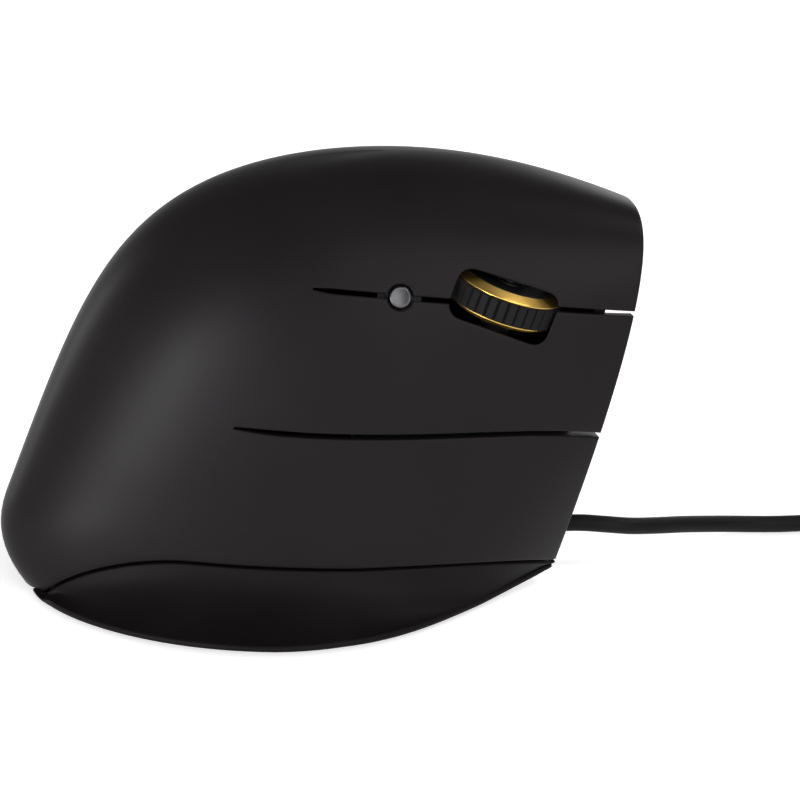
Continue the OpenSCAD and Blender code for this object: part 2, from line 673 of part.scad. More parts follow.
// Round button behind the wheel
knob_length = 6.5;
knob_proud = 0.3;
knob_back = knob_length - knob_proud;
sleeve_radius = knob_radius + fit + sleeve_wall;
sleeve_sunk = wall + 0.5;
sleeve_neck = 4.6;
cavity = knob_radius + 1.1;
skirt = cavity + 0.9;
rear_switch_height = 2.35;
knob_seat = knob_back + click_room + rear_switch_height;
module on_knob() {
    at_face(knob_at, knob_out, 0, 0) children();
}
module rear_button() {
    color("silver") on_knob() along_y(0, 0, -knob_proud, knob_back, knob_radius);
}
module rear_button_sleeve() {
    bore = knob_radius + fit;
    shoulder = sleeve_neck - 0.9;
    color("#141414") on_knob() rotate([-90, 0, 0]) rotate_extrude() polygon([
        [bore, sleeve_sunk], [sleeve_radius, sleeve_sunk], [sleeve_radius, shoulder],
        [skirt, shoulder], [skirt, knob_seat], [cavity, knob_seat],
        [cavity, sleeve_neck], [bore, sleeve_neck]]);
}
module rear_switch() {
    color(part_black) on_knob()
        along_y(0, 0, knob_back + click_room, knob_seat, cavity - slack);
}

// Chassis, boards and switches. Each plate is pressed at a point (s, t) of the skin.
chassis_y = 8;
chassis_wall = 2.4;
chassis_back = chassis_y + chassis_wall;
board_y = -8;
board_back = board_y + board_thickness;
plunger_length = 3;
top_press = [0.55, 1];
middle_press = [0.58, 0.355];
bottom_press = [0.5, 0.17];
thumb_press = [[0.22, 0.715], [0.62, 0.715]];
top_at = skin(finger, top_press[0], top_press[1]);
shelf_thickness = 2;
shelf_x = [top_at.x - switch_length/2, top_at.x + switch_length/2];
shelf_y = [chassis_back - seat_gap - switch_width, chassis_back - seat_gap];
shelf_z = top_at.z - wall - plunger_length - click_room - switch_height;
// Steps back from the front edge at the desk, and below the middle of the wheel's slot
chassis_rear = 2;
chassis_steps = [12.5, 4.5, 0.5];
chassis_knee = 19.21;
chassis_outline = [[chassis_rear, base_top], [foot_reach - chassis_steps[0], base_top],
    [foot_reach - chassis_steps[1], wheel_at.z - chassis_knee],
    [foot_reach - chassis_steps[2], shelf_z], [chassis_rear, shelf_z]];
board_rear = 6;
board_low = 12;
board_front = foot_reach - 1.4;
board_cut = 9;
board_top = wheel_at.z - 12.21;
board_face = 11;
board_outline = [[board_rear, board_low], [board_front - board_cut, board_low],
    [board_front, board_top - board_face], [board_front, board_top], [board_rear, board_top]];
post_inset = 4;
board_posts = [
    [board_rear + post_inset, board_low + post_inset],
    [board_front - board_cut - post_inset, board_low + post_inset],
    [board_rear + post_inset, board_top - post_inset],
    [board_front - 20, board_top - post_inset]
];
pilot_depth = 8;
flange_x = [4, 31];
flange_y = [-9, 18];
flange_height = 2.2;
boss_height = 7;
thumb_board_x = [12, 40];
thumb_board_z = [ridge_height - 21.5, ridge_height - 9];
thumb_inset = 2.5;
thumb_screws = [for (x = [thumb_board_x[0] + thumb_inset, 25]) [x, thumb_board_z[0] + thumb_inset]];
// A block between two corners
module block(from, to) {
    translate(from) cube(to - from);
}
module chassis() {
    color("#4a4b4e") difference() {
        union() {
            translate([0, chassis_back, 0]) rotate([90, 0, 0])
                linear_extrude(chassis_wall) polygon(chassis_outline);
            block([flange_x[0], flange_y[0], base_top],
                [flange_x[1], flange_y[1], base_top + flange_height]);
            for (p = screw_places) translate([p.x, p.y, base_top])
                cylinder(r = screw_head + 0.6, h = boss_height);
            for (p = board_posts)
                along_y(p.x, p.y, board_back, chassis_y + chassis_wall/2, post_radius);
            block([shelf_x[0], shelf_y[0], shelf_z - shelf_thickness], [shelf_x[1], shelf_y[1], shelf_z]);
            in_wheel() block([-bridge_half, guide_face, -guide_half],
                [bridge_half, guide_face + guide_depth, guide_half]);
            on_knob() along_y(0, 0, knob_seat,
                (chassis_y + chassis_wall/2 - knob_at.y)/cos(asin(knob_out.z)), skirt);
        }
        in_wheel() {
            for (x = [-pin_offset, pin_offset])
                along_y(x, 0, guide_face - past, guide_face + 3*guide_depth, pin_radius + fit);
            block([-press_side/2 - slack/2, guide_face - past, -press_side/2 - slack/2],
                [press_side/2 + slack/2, guide_face + press_pocket, press_side/2 + slack/2]);
        }
        for (p = screw_places) translate([p.x, p.y, base_top - past])
            cylinder(r = screw_radius + fit, h = boss_height + 2*past);
        for (p = board_posts)
            along_y(p.x, p.y, board_back - past, board_back + pilot_depth, screw_radius + fit);
        for (p = thumb_screws)
            along_y(p.x, p.y, chassis_y - past, chassis_back + past, screw_radius + fit);
    }
}
module button_board() {
    color(board_green) difference() {
        translate([0, board_back, 0]) rotate([90, 0, 0])
            linear_extrude(board_thickness) polygon(board_outline);
        for (p = board_posts)
            along_y(p.x, p.y, board_y - past, board_back + past, screw_radius + slack);
    }
}
module side_switch(press) {
    at = skin(finger, press[0], press[1]);
    color(part_black) block([at.x - switch_length/2, board_y - switch_height, at.z - switch_width/2],
        [at.x + switch_length/2, board_y, at.z + switch_width/2]);
}
// Plungers end just short of the plate that they push, whatever its lean
function lean_room(out, axis) = plunger_radius*sqrt(1 - pow(out*axis, 2))/abs(out*axis) + seat_gap;
module side_plunger(press) {
    at = under(finger, press[0], press[1], wall);
    room = lean_room(outward(finger, press[0], press[1]), [0, 1, 0]);
    color(plunger_red) along_y(at.x, at.z, at.y + room,
        board_y - switch_height - click_room, plunger_radius);
}
module middle_switch() {
    side_switch(middle_press);
}
module bottom_switch() {
    side_switch(bottom_press);
}
module middle_plunger() {
    side_plunger(middle_press);
}
module bottom_plunger() {
    side_plunger(bottom_press);
}
module top_switch() {
    color(part_black)
        block([shelf_x[0], shelf_y[0], shelf_z], [shelf_x[1], shelf_y[1], shelf_z + switch_height]);
}
module top_plunger() {
    at = under(finger, top_press[0], top_press[1], wall);
    room = lean_room(outward(finger, top_press[0], top_press[1]), [0, 0, 1]);
    low = shelf_z + switch_height + click_room;
    color(plunger_red) translate([at.x, at.y, low])
        cylinder(r = plunger_radius, h = at.z - room - low);
}
thumb_board_back = chassis_back + board_thickness;
module thumb_board() {
    color(board_green) difference() {
        block([thumb_board_x[0], chassis_back, thumb_board_z[0]],
            [thumb_board_x[1], thumb_board_back, thumb_board_z[1]]);
        for (p = thumb_screws)
            along_y(p.x, p.y, chassis_back - past, thumb_board_back + past, screw_radius + slack);
    }
}
module thumb_switches() {
    half = thumb_switch_side/2;
    color(part_black) for (press = thumb_press) {
        at = skin(thumb, press[0], press[1]);
        block([at.x - half, thumb_board_back, at.z - half],
            [at.x + half, thumb_board_back + thumb_switch_height, at.z + half]);
    }
}
module thumb_plunger(press) {
    at = under(thumb, press[0], press[1], wall);
    room = lean_room(outward(thumb, press[0], press[1]), [0, 1, 0]);
    color(plunger_red) along_y(at.x, at.z, thumb_board_back + thumb_switch_height + click_room,
        at.y - room, plunger_radius);
}
module thumb_plunger_rear() {
    thumb_plunger(thumb_press[0]);
}
module thumb_plunger_front() {
    thumb_plunger(thumb_press[1]);
}

// Main board with the motion sensor, and the ribbon to the button board
main_low = base_top + board_post;
main_top = main_low + board_thickness;
main_board_x = [-36, 0];
main_board_y = [-13, 15];
module main_board() {
    color(board_green) difference() {
        block([main_board_x[0], main_board_y[0], main_low], [main_board_x[1], main_board_y[1], main_top]);
        for (p = board_corners) translate([p.x, p.y, main_low - past])
            cylinder(r = screw_radius + slack, h = board_thickness + 2*past);
    }
}
lens_flange = 0.6;
lens_rim = 2;
lens_depth = 1.6;
sensor_half = [6, 5];
module sensor_lens() {
    half = [window_length/2, window_width/2];
    color("#9fc4d8") translate([sensor_at.x, sensor_at.y, base_top]) {
        block([-half.x - lens_rim, -half.y - lens_rim, 0],
            [half.x + lens_rim, half.y + lens_rim, lens_flange]);
        block([slack - half.x, slack - half.y, -lens_depth], [half.x - slack, half.y - slack, 0]);
    }
}
module optical_sensor() {
    color(part_black) translate([sensor_at.x, sensor_at.y, 0])
        block([-sensor_half.x, -sensor_half.y, base_top + lens_flange],
            [sensor_half.x, sensor_half.y, main_low]);
}
board_screw_length = 5;
screw_end = 0.4;
module board_screws() {
    color(steel) {
        for (p = board_corners) translate([p.x, p.y, main_top])
            screw(board_post + board_thickness - screw_end);
        for (p = board_posts) translate([p.x, board_y, p.y]) rotate([90, 0, 0])
            screw(board_screw_length);
        for (p = thumb_screws) translate([p.x, thumb_board_back, p.y]) rotate([-90, 0, 0])
            screw(board_thickness + chassis_wall);
    }
}
ribbon_width = 4;
ribbon_thickness = 0.8;
module ribbon_cable() {
    end = board_outline[0].x - seat_gap;
    rise = board_low + 6;
    color("#8d8f92") translate([0, board_back, 0]) rotate([90, 0, 0]) linear_extrude(ribbon_width)
        polygon([[-5, main_top], [-1, main_top], [2, main_top + 0.6], [end, main_top + 8], [end, rise],
            [end - ribbon_thickness, rise], [end - ribbon_thickness, main_top + 8.6],
            [1.6, main_top + 1.5], [-1, main_top + ribbon_thickness], [-5, main_top + ribbon_thickness]]);
}

// Cord: gland, free stretch, coil with its tie, and plug. Route points are chosen by hand.
cord_radius = cord_diameter/2;
coil_place = [126, 3];
strap = 1.2;
coil_room = 0.3;
coil_low = 0.1 + strap + coil_room + cord_radius;
coil_layers = 4;
layer_turns = coil_turns/coil_layers;
coil_top = coil_low + (coil_layers - 1)*coil_pitch;
coil_outer = coil_diameter/2 + layer_turns*coil_pitch/2;
coil_inner = coil_diameter/2 - layer_turns*coil_pitch/2;
coil_start = [coil_place.x, coil_place.y + coil_outer, coil_top];
route = [
    [46.4, 0, 8], [50, 0, 8], [54, 0.2, 7.6], [59, 1.3, 6.75], [64, 3.6, 5.8], [69, 6.4, 4.75],
    [74, 9, 3.65], [79, 11.1, 2.7], [84, 12.5, 2], [89, 13.3, 1.7], [93.8, 14.2, 1.7], [98, 16.3, 2.5],
    [101.9, 19, 4.4], [105.5, 21.9, 7.1], [109.1, 24.6, 10], [112.7, 26.7, 12.5], [116.2, 27.9, 14.1],
    coil_start - [2*cord_diameter, 0, 0], coil_start - [cord_diameter, 0, 0]
];
function tangent(path, i) = unit(path[min(i + 1, len(path) - 1)] - path[max(i - 1, 0)]);
function ring(path, i, sides) =
    let (t = tangent(path, i))
    let (a = unit(cross(t, [0, 0, 1])))
    let (b = cross(a, t))
    [for (k = [0:sides - 1])
        path[i] + cord_radius*(cos(360*k/sides)*a + sin(360*k/sides)*b)];
module tube(path, sides) {
    loft([for (i = [0:len(path) - 1]) ring(path, i, sides)]);
}
module cable() {
    color(dark) tube(route, 8);
}
// The coil winds down from its top layer, in and out by turns, and drops a layer where it reverses
loop_rings = 24;
drop_turn = 0.5;
function coil_drop(u, layer) = ease((u - layer*layer_turns)/drop_turn + 0.5);
function coil_point(u) =
    let (phase = u/layer_turns)
    let (share = 1 - abs(1 - (phase - 2*floor(phase/2))))
    let (r = mix(coil_outer, coil_inner, share))
    let (drops = coil_drop(u, 1) + coil_drop(u, 2) + coil_drop(u, 3))
    [coil_place.x + r*cos(90 - 360*u), coil_place.y + r*sin(90 - 360*u), coil_top - coil_pitch*drops];
coil_rings = ceil(coil_turns*loop_rings);
coil_loops = [for (i = [0:coil_rings]) coil_point(coil_turns*i/coil_rings)];
coil_end = coil_loops[coil_rings];
// A straight tail brings the plug clear of the upper layers
coil_tail = coil_outer - 4;
coil_path = concat(
    [coil_start - [cord_diameter, 0, 0]], coil_loops,
    [for (k = [1:3]) coil_end - [0, coil_tail*k/3, 0]]
);
coil_gap = min([for (i = [0:coil_rings], j = [i + loop_rings/2:1:coil_rings])
    norm(coil_loops[i] - coil_loops[j])]) - cord_diameter;
module cable_coil() {
    color(dark) tube(coil_path, 6);
}
tie_width = 5;
tie_angle = 225;
tie_bow = 0.6;
module cable_tie() {
    from = coil_inner - cord_radius - coil_room - tie_bow;
    to = coil_outer + cord_radius + coil_room;
    high = coil_top + cord_radius + coil_room;
    low = coil_low - cord_radius - coil_room;
    color("#101010") translate([coil_place.x, coil_place.y, 0]) rotate([0, 0, tie_angle]) difference() {
        block([from - strap, -tie_width/2, low - strap], [to + strap, tie_width/2, high + strap]);
        block([from, -tie_width, low], [to, tie_width, high]);
    }
}
gland_x = panel(0.4, 0.07).x;
gland_flange = 4.4;
gland_flange_length = 1.5;
gland_flange_x = gland_x - panel_thickness - 3.9;
gland_lip = 0.5;
module strain_relief() {
    color(dark) {
        along_x(cord_y, cord_z, gland_flange_x, gland_flange_x + gland_flange_length, gland_flange);
        along_x(cord_y, cord_z, gland_flange_x + gland_flange_length/2, gland_x, gland_neck);
        translate([gland_x, cord_y, cord_z]) rotate([0, 90, 0])
            cylinder(r1 = gland_neck, r2 = cord_radius + gland_lip, h = route[0].x - gland_x);
    }
}
lead_gap = 0.3;
module cable_lead() {
    color(dark) along_x(cord_y, cord_z, main_board_x[1] + lead_gap, gland_flange_x, cord_radius - slack);
}
plug_width = 15.5;
plug_length = 22;
plug_corner = 1.5;
shell_width = 12;
shell_height = 4.5;
shell_length = 18.75;
shell_wall = 0.35;
tongue_height = 1.8;
tongue_length = 17;
plug_at = coil_end - [0, coil_tail, 0];
module usb_plug_body() {
    color(dark) translate(plug_at) rotate([90, 0, 0]) linear_extrude(plug_length) {
        square([plug_width, 2*coil_low - 2*plug_corner], center = true);
        square([plug_width - 2*plug_corner, 2*coil_low], center = true);
        for (x = [-1, 1], y = [-1, 1])
            translate([x*(plug_width/2 - plug_corner), y*(coil_low - plug_corner)]) circle(r = plug_corner);
    }
}
module usb_plug_shell() {
    color(steel) translate(plug_at - [0, plug_length, 0]) rotate([90, 0, 0]) linear_extrude(shell_length)
        difference() {
            square([shell_width, shell_height], center = true);
            square([shell_width - 2*shell_wall, shell_height - 2*shell_wall], center = true);
        }
}
module usb_plug_tongue() {
    half = shell_width/2 - shell_wall;
    high = shell_height/2 - shell_wall;
    color("#e4e4e0") translate(plug_at - [0, plug_length, 0])
        block([-half, -tongue_length, high - tongue_height], [half, 0, high]);
}

top_root = over(slit_root, top_slit(slit_root), 0);
low_root = over(low_slit_root, low_slit(low_slit_root), 0);
echo(top_axis = [top_root, over(slit_root, 2 - parting_girth, 0)]);
echo(middle_axis = [low_root, top_root]);
echo(bottom_axis = [over(seam_root, seam_girth, 0), low_root]);
echo(wheel_centre = wheel_at + in_wheel(wheel_offset + [0, wheel_depth, 0]));
echo(press_axis = in_wheel([0, 1, 0]));
echo(wheel_axis = in_wheel([0, 0, 1]), wheel_at = wheel_at);
echo(knob_at = knob_at, knob_axis = -knob_out);
echo(thumb_axes = [for (p = thumb_press) -outward(thumb, p[0], (window_girth + parting_girth)/2)]);
echo(plug_at = plug_at, least_gap_in_coil = coil_gap);
echo(cord_length = path_length(route) + path_length(coil_path));

palm_shell();
top_button();
middle_button();
bottom_button();
thumb_shell();
thumb_button_rear();
thumb_button_front();
finger_ledge();
front_panel();
base_plate();
glide_feet();
base_screws();
wheel_tyre();
wheel_hub();
wheel_axle();
wheel_yoke();
wheel_encoder();
wheel_switch();
rear_button();
rear_button_sleeve();
rear_switch();
chassis();
button_board();
top_switch();
middle_switch();
bottom_switch();
top_plunger();
middle_plunger();
bottom_plunger();
thumb_board();
thumb_switches();
thumb_plunger_rear();
thumb_plunger_front();
main_board();
optical_sensor();
sensor_lens();
board_screws();
ribbon_cable();
strain_relief();
cable_lead();
cable();
cable_coil();
cable_tie();
usb_plug_body();
usb_plug_shell();
usb_plug_tongue();
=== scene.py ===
import math

import bmesh
import bpy
import numpy as np
from mathutils import Matrix, Vector


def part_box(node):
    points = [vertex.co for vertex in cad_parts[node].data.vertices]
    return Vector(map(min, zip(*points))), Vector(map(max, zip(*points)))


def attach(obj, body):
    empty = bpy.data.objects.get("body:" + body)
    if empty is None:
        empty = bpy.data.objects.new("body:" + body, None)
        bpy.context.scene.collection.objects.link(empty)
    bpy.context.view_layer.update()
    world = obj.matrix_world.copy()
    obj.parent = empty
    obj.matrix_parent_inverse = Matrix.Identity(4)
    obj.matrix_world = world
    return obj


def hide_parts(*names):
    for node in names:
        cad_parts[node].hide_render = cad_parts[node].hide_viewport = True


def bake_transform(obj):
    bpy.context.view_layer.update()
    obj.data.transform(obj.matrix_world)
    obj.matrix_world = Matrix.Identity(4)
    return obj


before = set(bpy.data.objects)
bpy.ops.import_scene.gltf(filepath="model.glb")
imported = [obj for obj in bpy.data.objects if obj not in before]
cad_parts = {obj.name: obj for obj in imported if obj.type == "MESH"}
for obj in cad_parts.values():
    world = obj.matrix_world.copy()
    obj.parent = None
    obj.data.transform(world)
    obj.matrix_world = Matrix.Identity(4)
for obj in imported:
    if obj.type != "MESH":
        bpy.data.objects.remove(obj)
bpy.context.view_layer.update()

# Lengths below are in millimetres, as in the part's source; MM takes them to metres.
MM = 0.001
FINGER, THUMB = 0, 1


# Camera

CAMERA_TARGET = Vector((0.9, -0.7, 35)) * MM
CAMERA_ELEVATION = math.radians(23)
CAMERA_DISTANCE = 0.9


def place_camera():
    """The photograph's view: level with the finger side, looking down on the mouse."""
    target, elevation = CAMERA_TARGET, CAMERA_ELEVATION
    lens = bpy.data.cameras.new("photo_camera")
    lens.sensor_width = 36
    lens.lens = 218
    lens.shift_x = 0.096
    lens.shift_y = -0.01
    camera = bpy.data.objects.new("photo_camera", lens)
    away = Vector((0, -math.cos(elevation), math.sin(elevation)))
    camera.location = target + CAMERA_DISTANCE * away
    camera.rotation_euler = (target - camera.location).to_track_quat("-Z", "Y").to_euler()
    bpy.context.scene.collection.objects.link(camera)
    bpy.context.scene.camera = camera


# Mesh helpers

def mix(a, b, k):
    return a + (b - a) * k


def clip(v):
    return np.clip(v, 0, 1)


def ease(k):
    c = clip(k)
    return c * c * (3 - 2 * c)


def unit(v):
    length = np.linalg.norm(v, axis=-1, keepdims=True)
    return np.where(length < 1e-7, [0.0, 0.0, 1.0], v / np.maximum(length, 1e-7))


def drape(bm, points):
    """Lay a fresh grid over an array of points, columns first."""
    columns, rows = points.shape[:2]
    made = bmesh.ops.create_grid(bm, x_segments=columns - 1, y_segments=rows - 1, size=0.5)
    for vert in made["verts"]:
        i = round((vert.co.x + 0.5) * (columns - 1))
        j = round((vert.co.y + 0.5) * (rows - 1))
        vert.co = points[i, j] * MM


def closed_sheet(outer, inner, high_rim=True):
    """A wall between an outer and an inner grid of points. Its border is closed all round,
    apart from a high edge that folds onto itself."""
    ends = np.concatenate([inner[:1], outer, inner[-1:]])
    rows = [np.concatenate([inner[:1, :1], inner[:, :1], inner[-1:, :1]]), ends]
    if high_rim:
        rows.append(np.concatenate([inner[:1, -1:], inner[:, -1:], inner[-1:, -1:]]))
    bm = bmesh.new()
    drape(bm, np.concatenate(rows, axis=1))
    drape(bm, inner)
    return bm


def closed_ring(points):
    """A sweep of closed rings of points, with its two ends filled."""
    bm = bmesh.new()
    drape(bm, np.concatenate([points, points[:, :1]], axis=1))
    bmesh.ops.remove_doubles(bm, verts=bm.verts, dist=1e-6)
    bmesh.ops.holes_fill(bm, edges=[e for e in bm.edges if e.is_boundary])
    return bm


def turned(profile, steps, place):
    """A closed outline of (radius, height) turned about the Z axis of a placing matrix."""
    bm = bmesh.new()
    corners = [bm.verts.new((r * MM, 0, z * MM)) for r, z in profile]
    for a, b in zip(corners, corners[1:] + corners[:1]):
        bm.edges.new((a, b))
    bmesh.ops.spin(bm, geom=bm.verts[:] + bm.edges[:], cent=(0, 0, 0), axis=(0, 0, 1),
                   angle=2 * math.pi, steps=steps, use_merge=True)
    bmesh.ops.transform(bm, matrix=place, verts=bm.verts)
    return bm


def make_piece(name, bm, material, body, nodes, crease=35):
    """Turn a bmesh into a smooth piece that rides on a body and stands for CAD nodes."""
    bmesh.ops.remove_doubles(bm, verts=bm.verts, dist=1e-6)
    bmesh.ops.dissolve_degenerate(bm, edges=bm.edges, dist=1e-7)
    bmesh.ops.recalc_face_normals(bm, faces=bm.faces)
    for face in bm.faces:
        face.smooth = True
    for edge in bm.edges:
        edge.smooth = edge.calc_face_angle(0) < math.radians(crease)
    mesh = bpy.data.meshes.new(name)
    bm.to_mesh(mesh)
    bm.free()
    mesh.materials.append(material)
    piece = bpy.data.objects.new(name, mesh)
    bpy.context.scene.collection.objects.link(piece)
    if body:
        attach(piece, body)
    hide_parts(*nodes)
    return piece


def frame_at(place, along, out):
    """A placing matrix with Z along "out" and X near "along"."""
    z = Vector(out).normalized()
    y = z.cross(Vector(along)).normalized()
    x = y.cross(z)
    turn = Matrix((x, y, z)).transposed().to_4x4()
    return Matrix.Translation(Vector(place) * MM) @ turn


# Skin of the shell

# Rails of the skin: foot, lower handle, upper handle, ridge. Pairs are finger and thumb side.
STATION_X = np.array([4.9, 4.9, 4.9, 13.9])
REAR_X = np.array([-64.6, -42.6, -43.1, 11.9])
REAR_Z = np.array([1.5, 53.5, 77.5, 79.5])
MID_Y = np.array([-11.2, 1.3, 7.3, 8.3])
SIDE_Y = np.array([[-27.7, -25.7, -21.7, 8.3], [41.3, 5.3, 41.3, 8.3]])
SIDE_Z = np.array([[1.5, 40, 82.5, 79.5], [1.5, 30, 76.2, 79.5]])
FRONT_X = np.array([[43.4, 58.4, 62.4, 56.4], [43.4, 48.9, 50.4, 56.4]])
FRONT_Y = np.array([[-8.7, -20.7, -16.2, 4.3], [21.3, 3.3, 24.8, 4.3]])
FRONT_Z = np.array([[1.5, 54, 76.51, 72], [1.5, 30, 67.49, 72]])
SHELL_LIFT = 1.5
PALM_TUCK = 10
TUCK_HEIGHT = 16
WALL = 2.2


def skin(side, s, t):
    """Point of the skin: s runs from the rear, -1, to the front edge, 1; t from foot to ridge."""
    s, t = np.broadcast_arrays(np.asarray(s, float), np.asarray(t, float))
    turn = np.pi / 2 * (1 + np.minimum(s, 0))
    rear, wide, front = np.cos(turn), np.sin(turn), np.maximum(s, 0)
    shares = [(1 - t) ** 3, 3 * t * (1 - t) ** 2, 3 * t * t * (1 - t), t ** 3]
    x = y = z = 0
    for j, share in enumerate(shares):
        station, side_y, side_z = STATION_X[j], SIDE_Y[side][j], SIDE_Z[side][j]
        x = x + share * (station + (REAR_X[j] - station) * rear
                         + (FRONT_X[side][j] - station) * front)
        y = y + share * (mix(MID_Y[j], side_y, wide) + (FRONT_Y[side][j] - side_y) * front ** 2)
        z = z + share * (mix(REAR_Z[j], side_z, wide ** 2)
                         + (FRONT_Z[side][j] - side_z) * front ** 2)
    low = clip(1 - (z - SHELL_LIFT) / TUCK_HEIGHT)
    return np.stack([x + PALM_TUCK * rear * low * low, y, z], axis=-1)


SLOPE_STEP = 0.005


def along(side, s, t):
    return (skin(side, s + SLOPE_STEP, t) - skin(side, s - SLOPE_STEP, t)) / (2 * SLOPE_STEP)


def upward(side, s, t):
    return (skin(side, s, t + SLOPE_STEP) - skin(side, s, t - SLOPE_STEP)) / (2 * SLOPE_STEP)


def outward(side, s, t):
    return unit(np.cross(along(side, s, t), upward(side, s, t))) * (1 if side == FINGER else -1)


def plan_out(side, s):
    """Level direction away from the foot."""
    d = along(side, s, 0)
    level = np.stack([d[..., 1], -d[..., 0], 0 * d[..., 0]], axis=-1)
    return unit(level) * (1 if side == FINGER else -1)


def under(side, s, t, depth):
    return skin(side, s, t) - np.asarray(depth)[..., None] * outward(side, s, t)


def over(s, g, depth):
    """As under, with a girth g that runs on over the ridge and down the thumb side past 1."""
    s, g, depth = np.broadcast_arrays(s, g, depth)
    past = (g > 1)[..., None]
    return np.where(past, under(THUMB, s, 2 - g, depth), under(FINGER, s, g, depth))


def s_per_mm(side, s, t):
    return 1 / np.linalg.norm(along(side, s, t), axis=-1)


def t_per_mm(side, s, t):
    return 1 / np.linalg.norm(upward(side, s, t), axis=-1)


# Lines on the skin: slits, seam, parting and the openings of the wheel and the round button

SLIT_ROOT = -0.117
LOW_SLIT_ROOT = -0.25
SEAM_ROOT = -0.29
SEAM_GIRTH = 0.08
SEAM_WIDTH = 0.5
PARTING_GIRTH = 0.84
PARTING_GAP = 0.8
LEDGE_START = -0.85
KNOB_S = 0.161
WHEEL_S = 0.527


def top_slit(s):
    return 0.566 - 0.056 * s - 0.036 * s ** 3


def low_slit(s):
    return 0.304 - 0.018 * s - 0.064 * s ** 3


def seam(s):
    fall = clip((-0.3 - s) / 0.47)
    rear = (fall ** 1.5 + ease(fall)) / 2
    front = 0.75 * clip((s - 0.1) / 0.885) ** 2
    return SEAM_GIRTH * np.maximum(0, 1 - rear - front)


def parting(s):
    return PARTING_GIRTH * ease((s + 0.75) / 0.5)


def root(t):
    return np.interp(t, [SEAM_GIRTH, low_slit(LOW_SLIT_ROOT), top_slit(SLIT_ROOT)],
                     [SEAM_ROOT, LOW_SLIT_ROOT, SLIT_ROOT])


def slit_half(s):
    return mix(0.4, 0.9, clip((s - SLIT_ROOT) / 0.06)) / 2


def low_edge(s, up):
    return low_slit(s) + up * t_per_mm(FINGER, s, low_slit(s)) * slit_half(s)


def seam_edge(s, up):
    return seam(s) + up * t_per_mm(FINGER, s, seam(s)) * SEAM_WIDTH / 2


def plate_top(s):
    return 2 - PARTING_GIRTH - t_per_mm(THUMB, s, PARTING_GIRTH) * PARTING_GAP / 2


# Slot of the wheel and hole of the round button. The slot is a rounded rectangle, larger at the
# inner face of the plates.
KNOB_HOLE = 2.4
SLOT_CORNER = (2.6, 1.3)
SLOT_HALF = (np.array([7.1, 2.2]), np.array([9.6, 4.75]))
WHEEL_PACE = 1 / s_per_mm(FINGER, WHEEL_S, top_slit(WHEEL_S))
KNOB_PACE = 1 / s_per_mm(FINGER, KNOB_S, top_slit(KNOB_S))
SLIT_RUN = (skin(FINGER, WHEEL_S + 0.1, top_slit(WHEEL_S + 0.1))
            - skin(FINGER, WHEEL_S - 0.1, top_slit(WHEEL_S - 0.1)))
SLOT_TILT = math.radians(20) - math.atan2(-SLIT_RUN[2], SLIT_RUN[0])
OUTER, INNER = 0, 1


def slot_centres(face):
    """Places that a disc of the corner's radius passes as it draws the slot's outline."""
    x, y = SLOT_HALF[face]
    q = np.linspace(-1, 1, 81)
    ones = np.ones_like(q)
    flat = np.concatenate([np.stack([x * q, y * ones], 1), np.stack([x * q, -y * ones], 1),
                           np.stack([x * ones, y * q], 1), np.stack([-x * ones, y * q], 1)])
    c, k = math.cos(SLOT_TILT), math.sin(SLOT_TILT)
    return flat @ np.array([[c, -k], [k, c]])


def disc_edge(a, r):
    return np.where(np.abs(a) < r, np.sqrt(np.maximum(r * r - a * a, 0)), -1000)


def slit_line(s, up, face):
    """Girth of a plate's edge along the top slit, round the slot and the round hole."""
    centres = slot_centres(face)
    a = (s - WHEEL_S) * WHEEL_PACE
    slot = (disc_edge(a[:, None] - centres[:, 0], SLOT_CORNER[face]) + up * centres[:, 1]).max(1)
    hole = disc_edge((s - KNOB_S) * KNOB_PACE, KNOB_HOLE)
    edge = np.maximum(np.maximum(slit_half(s), slot), hole)
    return top_slit(s) + up * t_per_mm(FINGER, s, top_slit(s)) * edge


def from_slit(s, g):
    """Distance on the plates from the top slit, the slot and the round hole."""
    a = (s - WHEEL_S) * WHEEL_PACE
    b = (s - KNOB_S) * KNOB_PACE
    h = (g - top_slit(s)) / t_per_mm(FINGER, s, top_slit(s))
    c, k = math.cos(SLOT_TILT), math.sin(SLOT_TILT)
    x = np.abs(a * c - h * k) - SLOT_HALF[OUTER][0]
    y = np.abs(a * k + h * c) - SLOT_HALF[OUTER][1]
    slot = np.hypot(np.maximum(x, 0), np.maximum(y, 0)) + np.minimum(np.maximum(x, y), 0)
    return np.minimum(np.minimum(slot - SLOT_CORNER[OUTER], np.hypot(b, h) - KNOB_HOLE),
                      np.abs(h) - slit_half(s))


# Shells and button plates

ROLL = 0.3
EDGE_STEPS = np.array([0, 0.03, 0.09, 0.18])


def rolled(distance, radius=ROLL):
    """How deep a rounded edge lies under the skin, by the distance from that edge."""
    inset = np.clip(radius - distance, 0, radius)
    return radius - np.sqrt(np.maximum(radius ** 2 - inset ** 2, 0))


def edge_rows(count):
    """Rows of a sheet as shares of its height and offsets in millimetres, close at both edges."""
    share = np.linspace(0, 1, count)
    shares = np.concatenate([0 * EDGE_STEPS, share, 0 * EDGE_STEPS + 1])
    offsets = np.concatenate([EDGE_STEPS, ROLL * (1 - 2 * share), -EDGE_STEPS[::-1]])
    return shares, offsets


def front_steps(end, pace):
    """Columns close to a rounded front edge."""
    return end - np.append(EDGE_STEPS, ROLL)[::-1] / pace


def notch(centre, reach, pace, count):
    """Columns across an opening in a plate's edge, closest at its two ends."""
    k = np.cos(np.linspace(math.pi, 0, count)) * 0.9995
    beyond = np.array([0.4, 0.25, 0.12, 0.04])
    return centre + np.concatenate([-reach - beyond, reach * k, reach + beyond[::-1]]) / pace


def slot_reach(face):
    x, y = SLOT_HALF[face]
    return x * math.cos(SLOT_TILT) + y * math.sin(SLOT_TILT) + SLOT_CORNER[face]


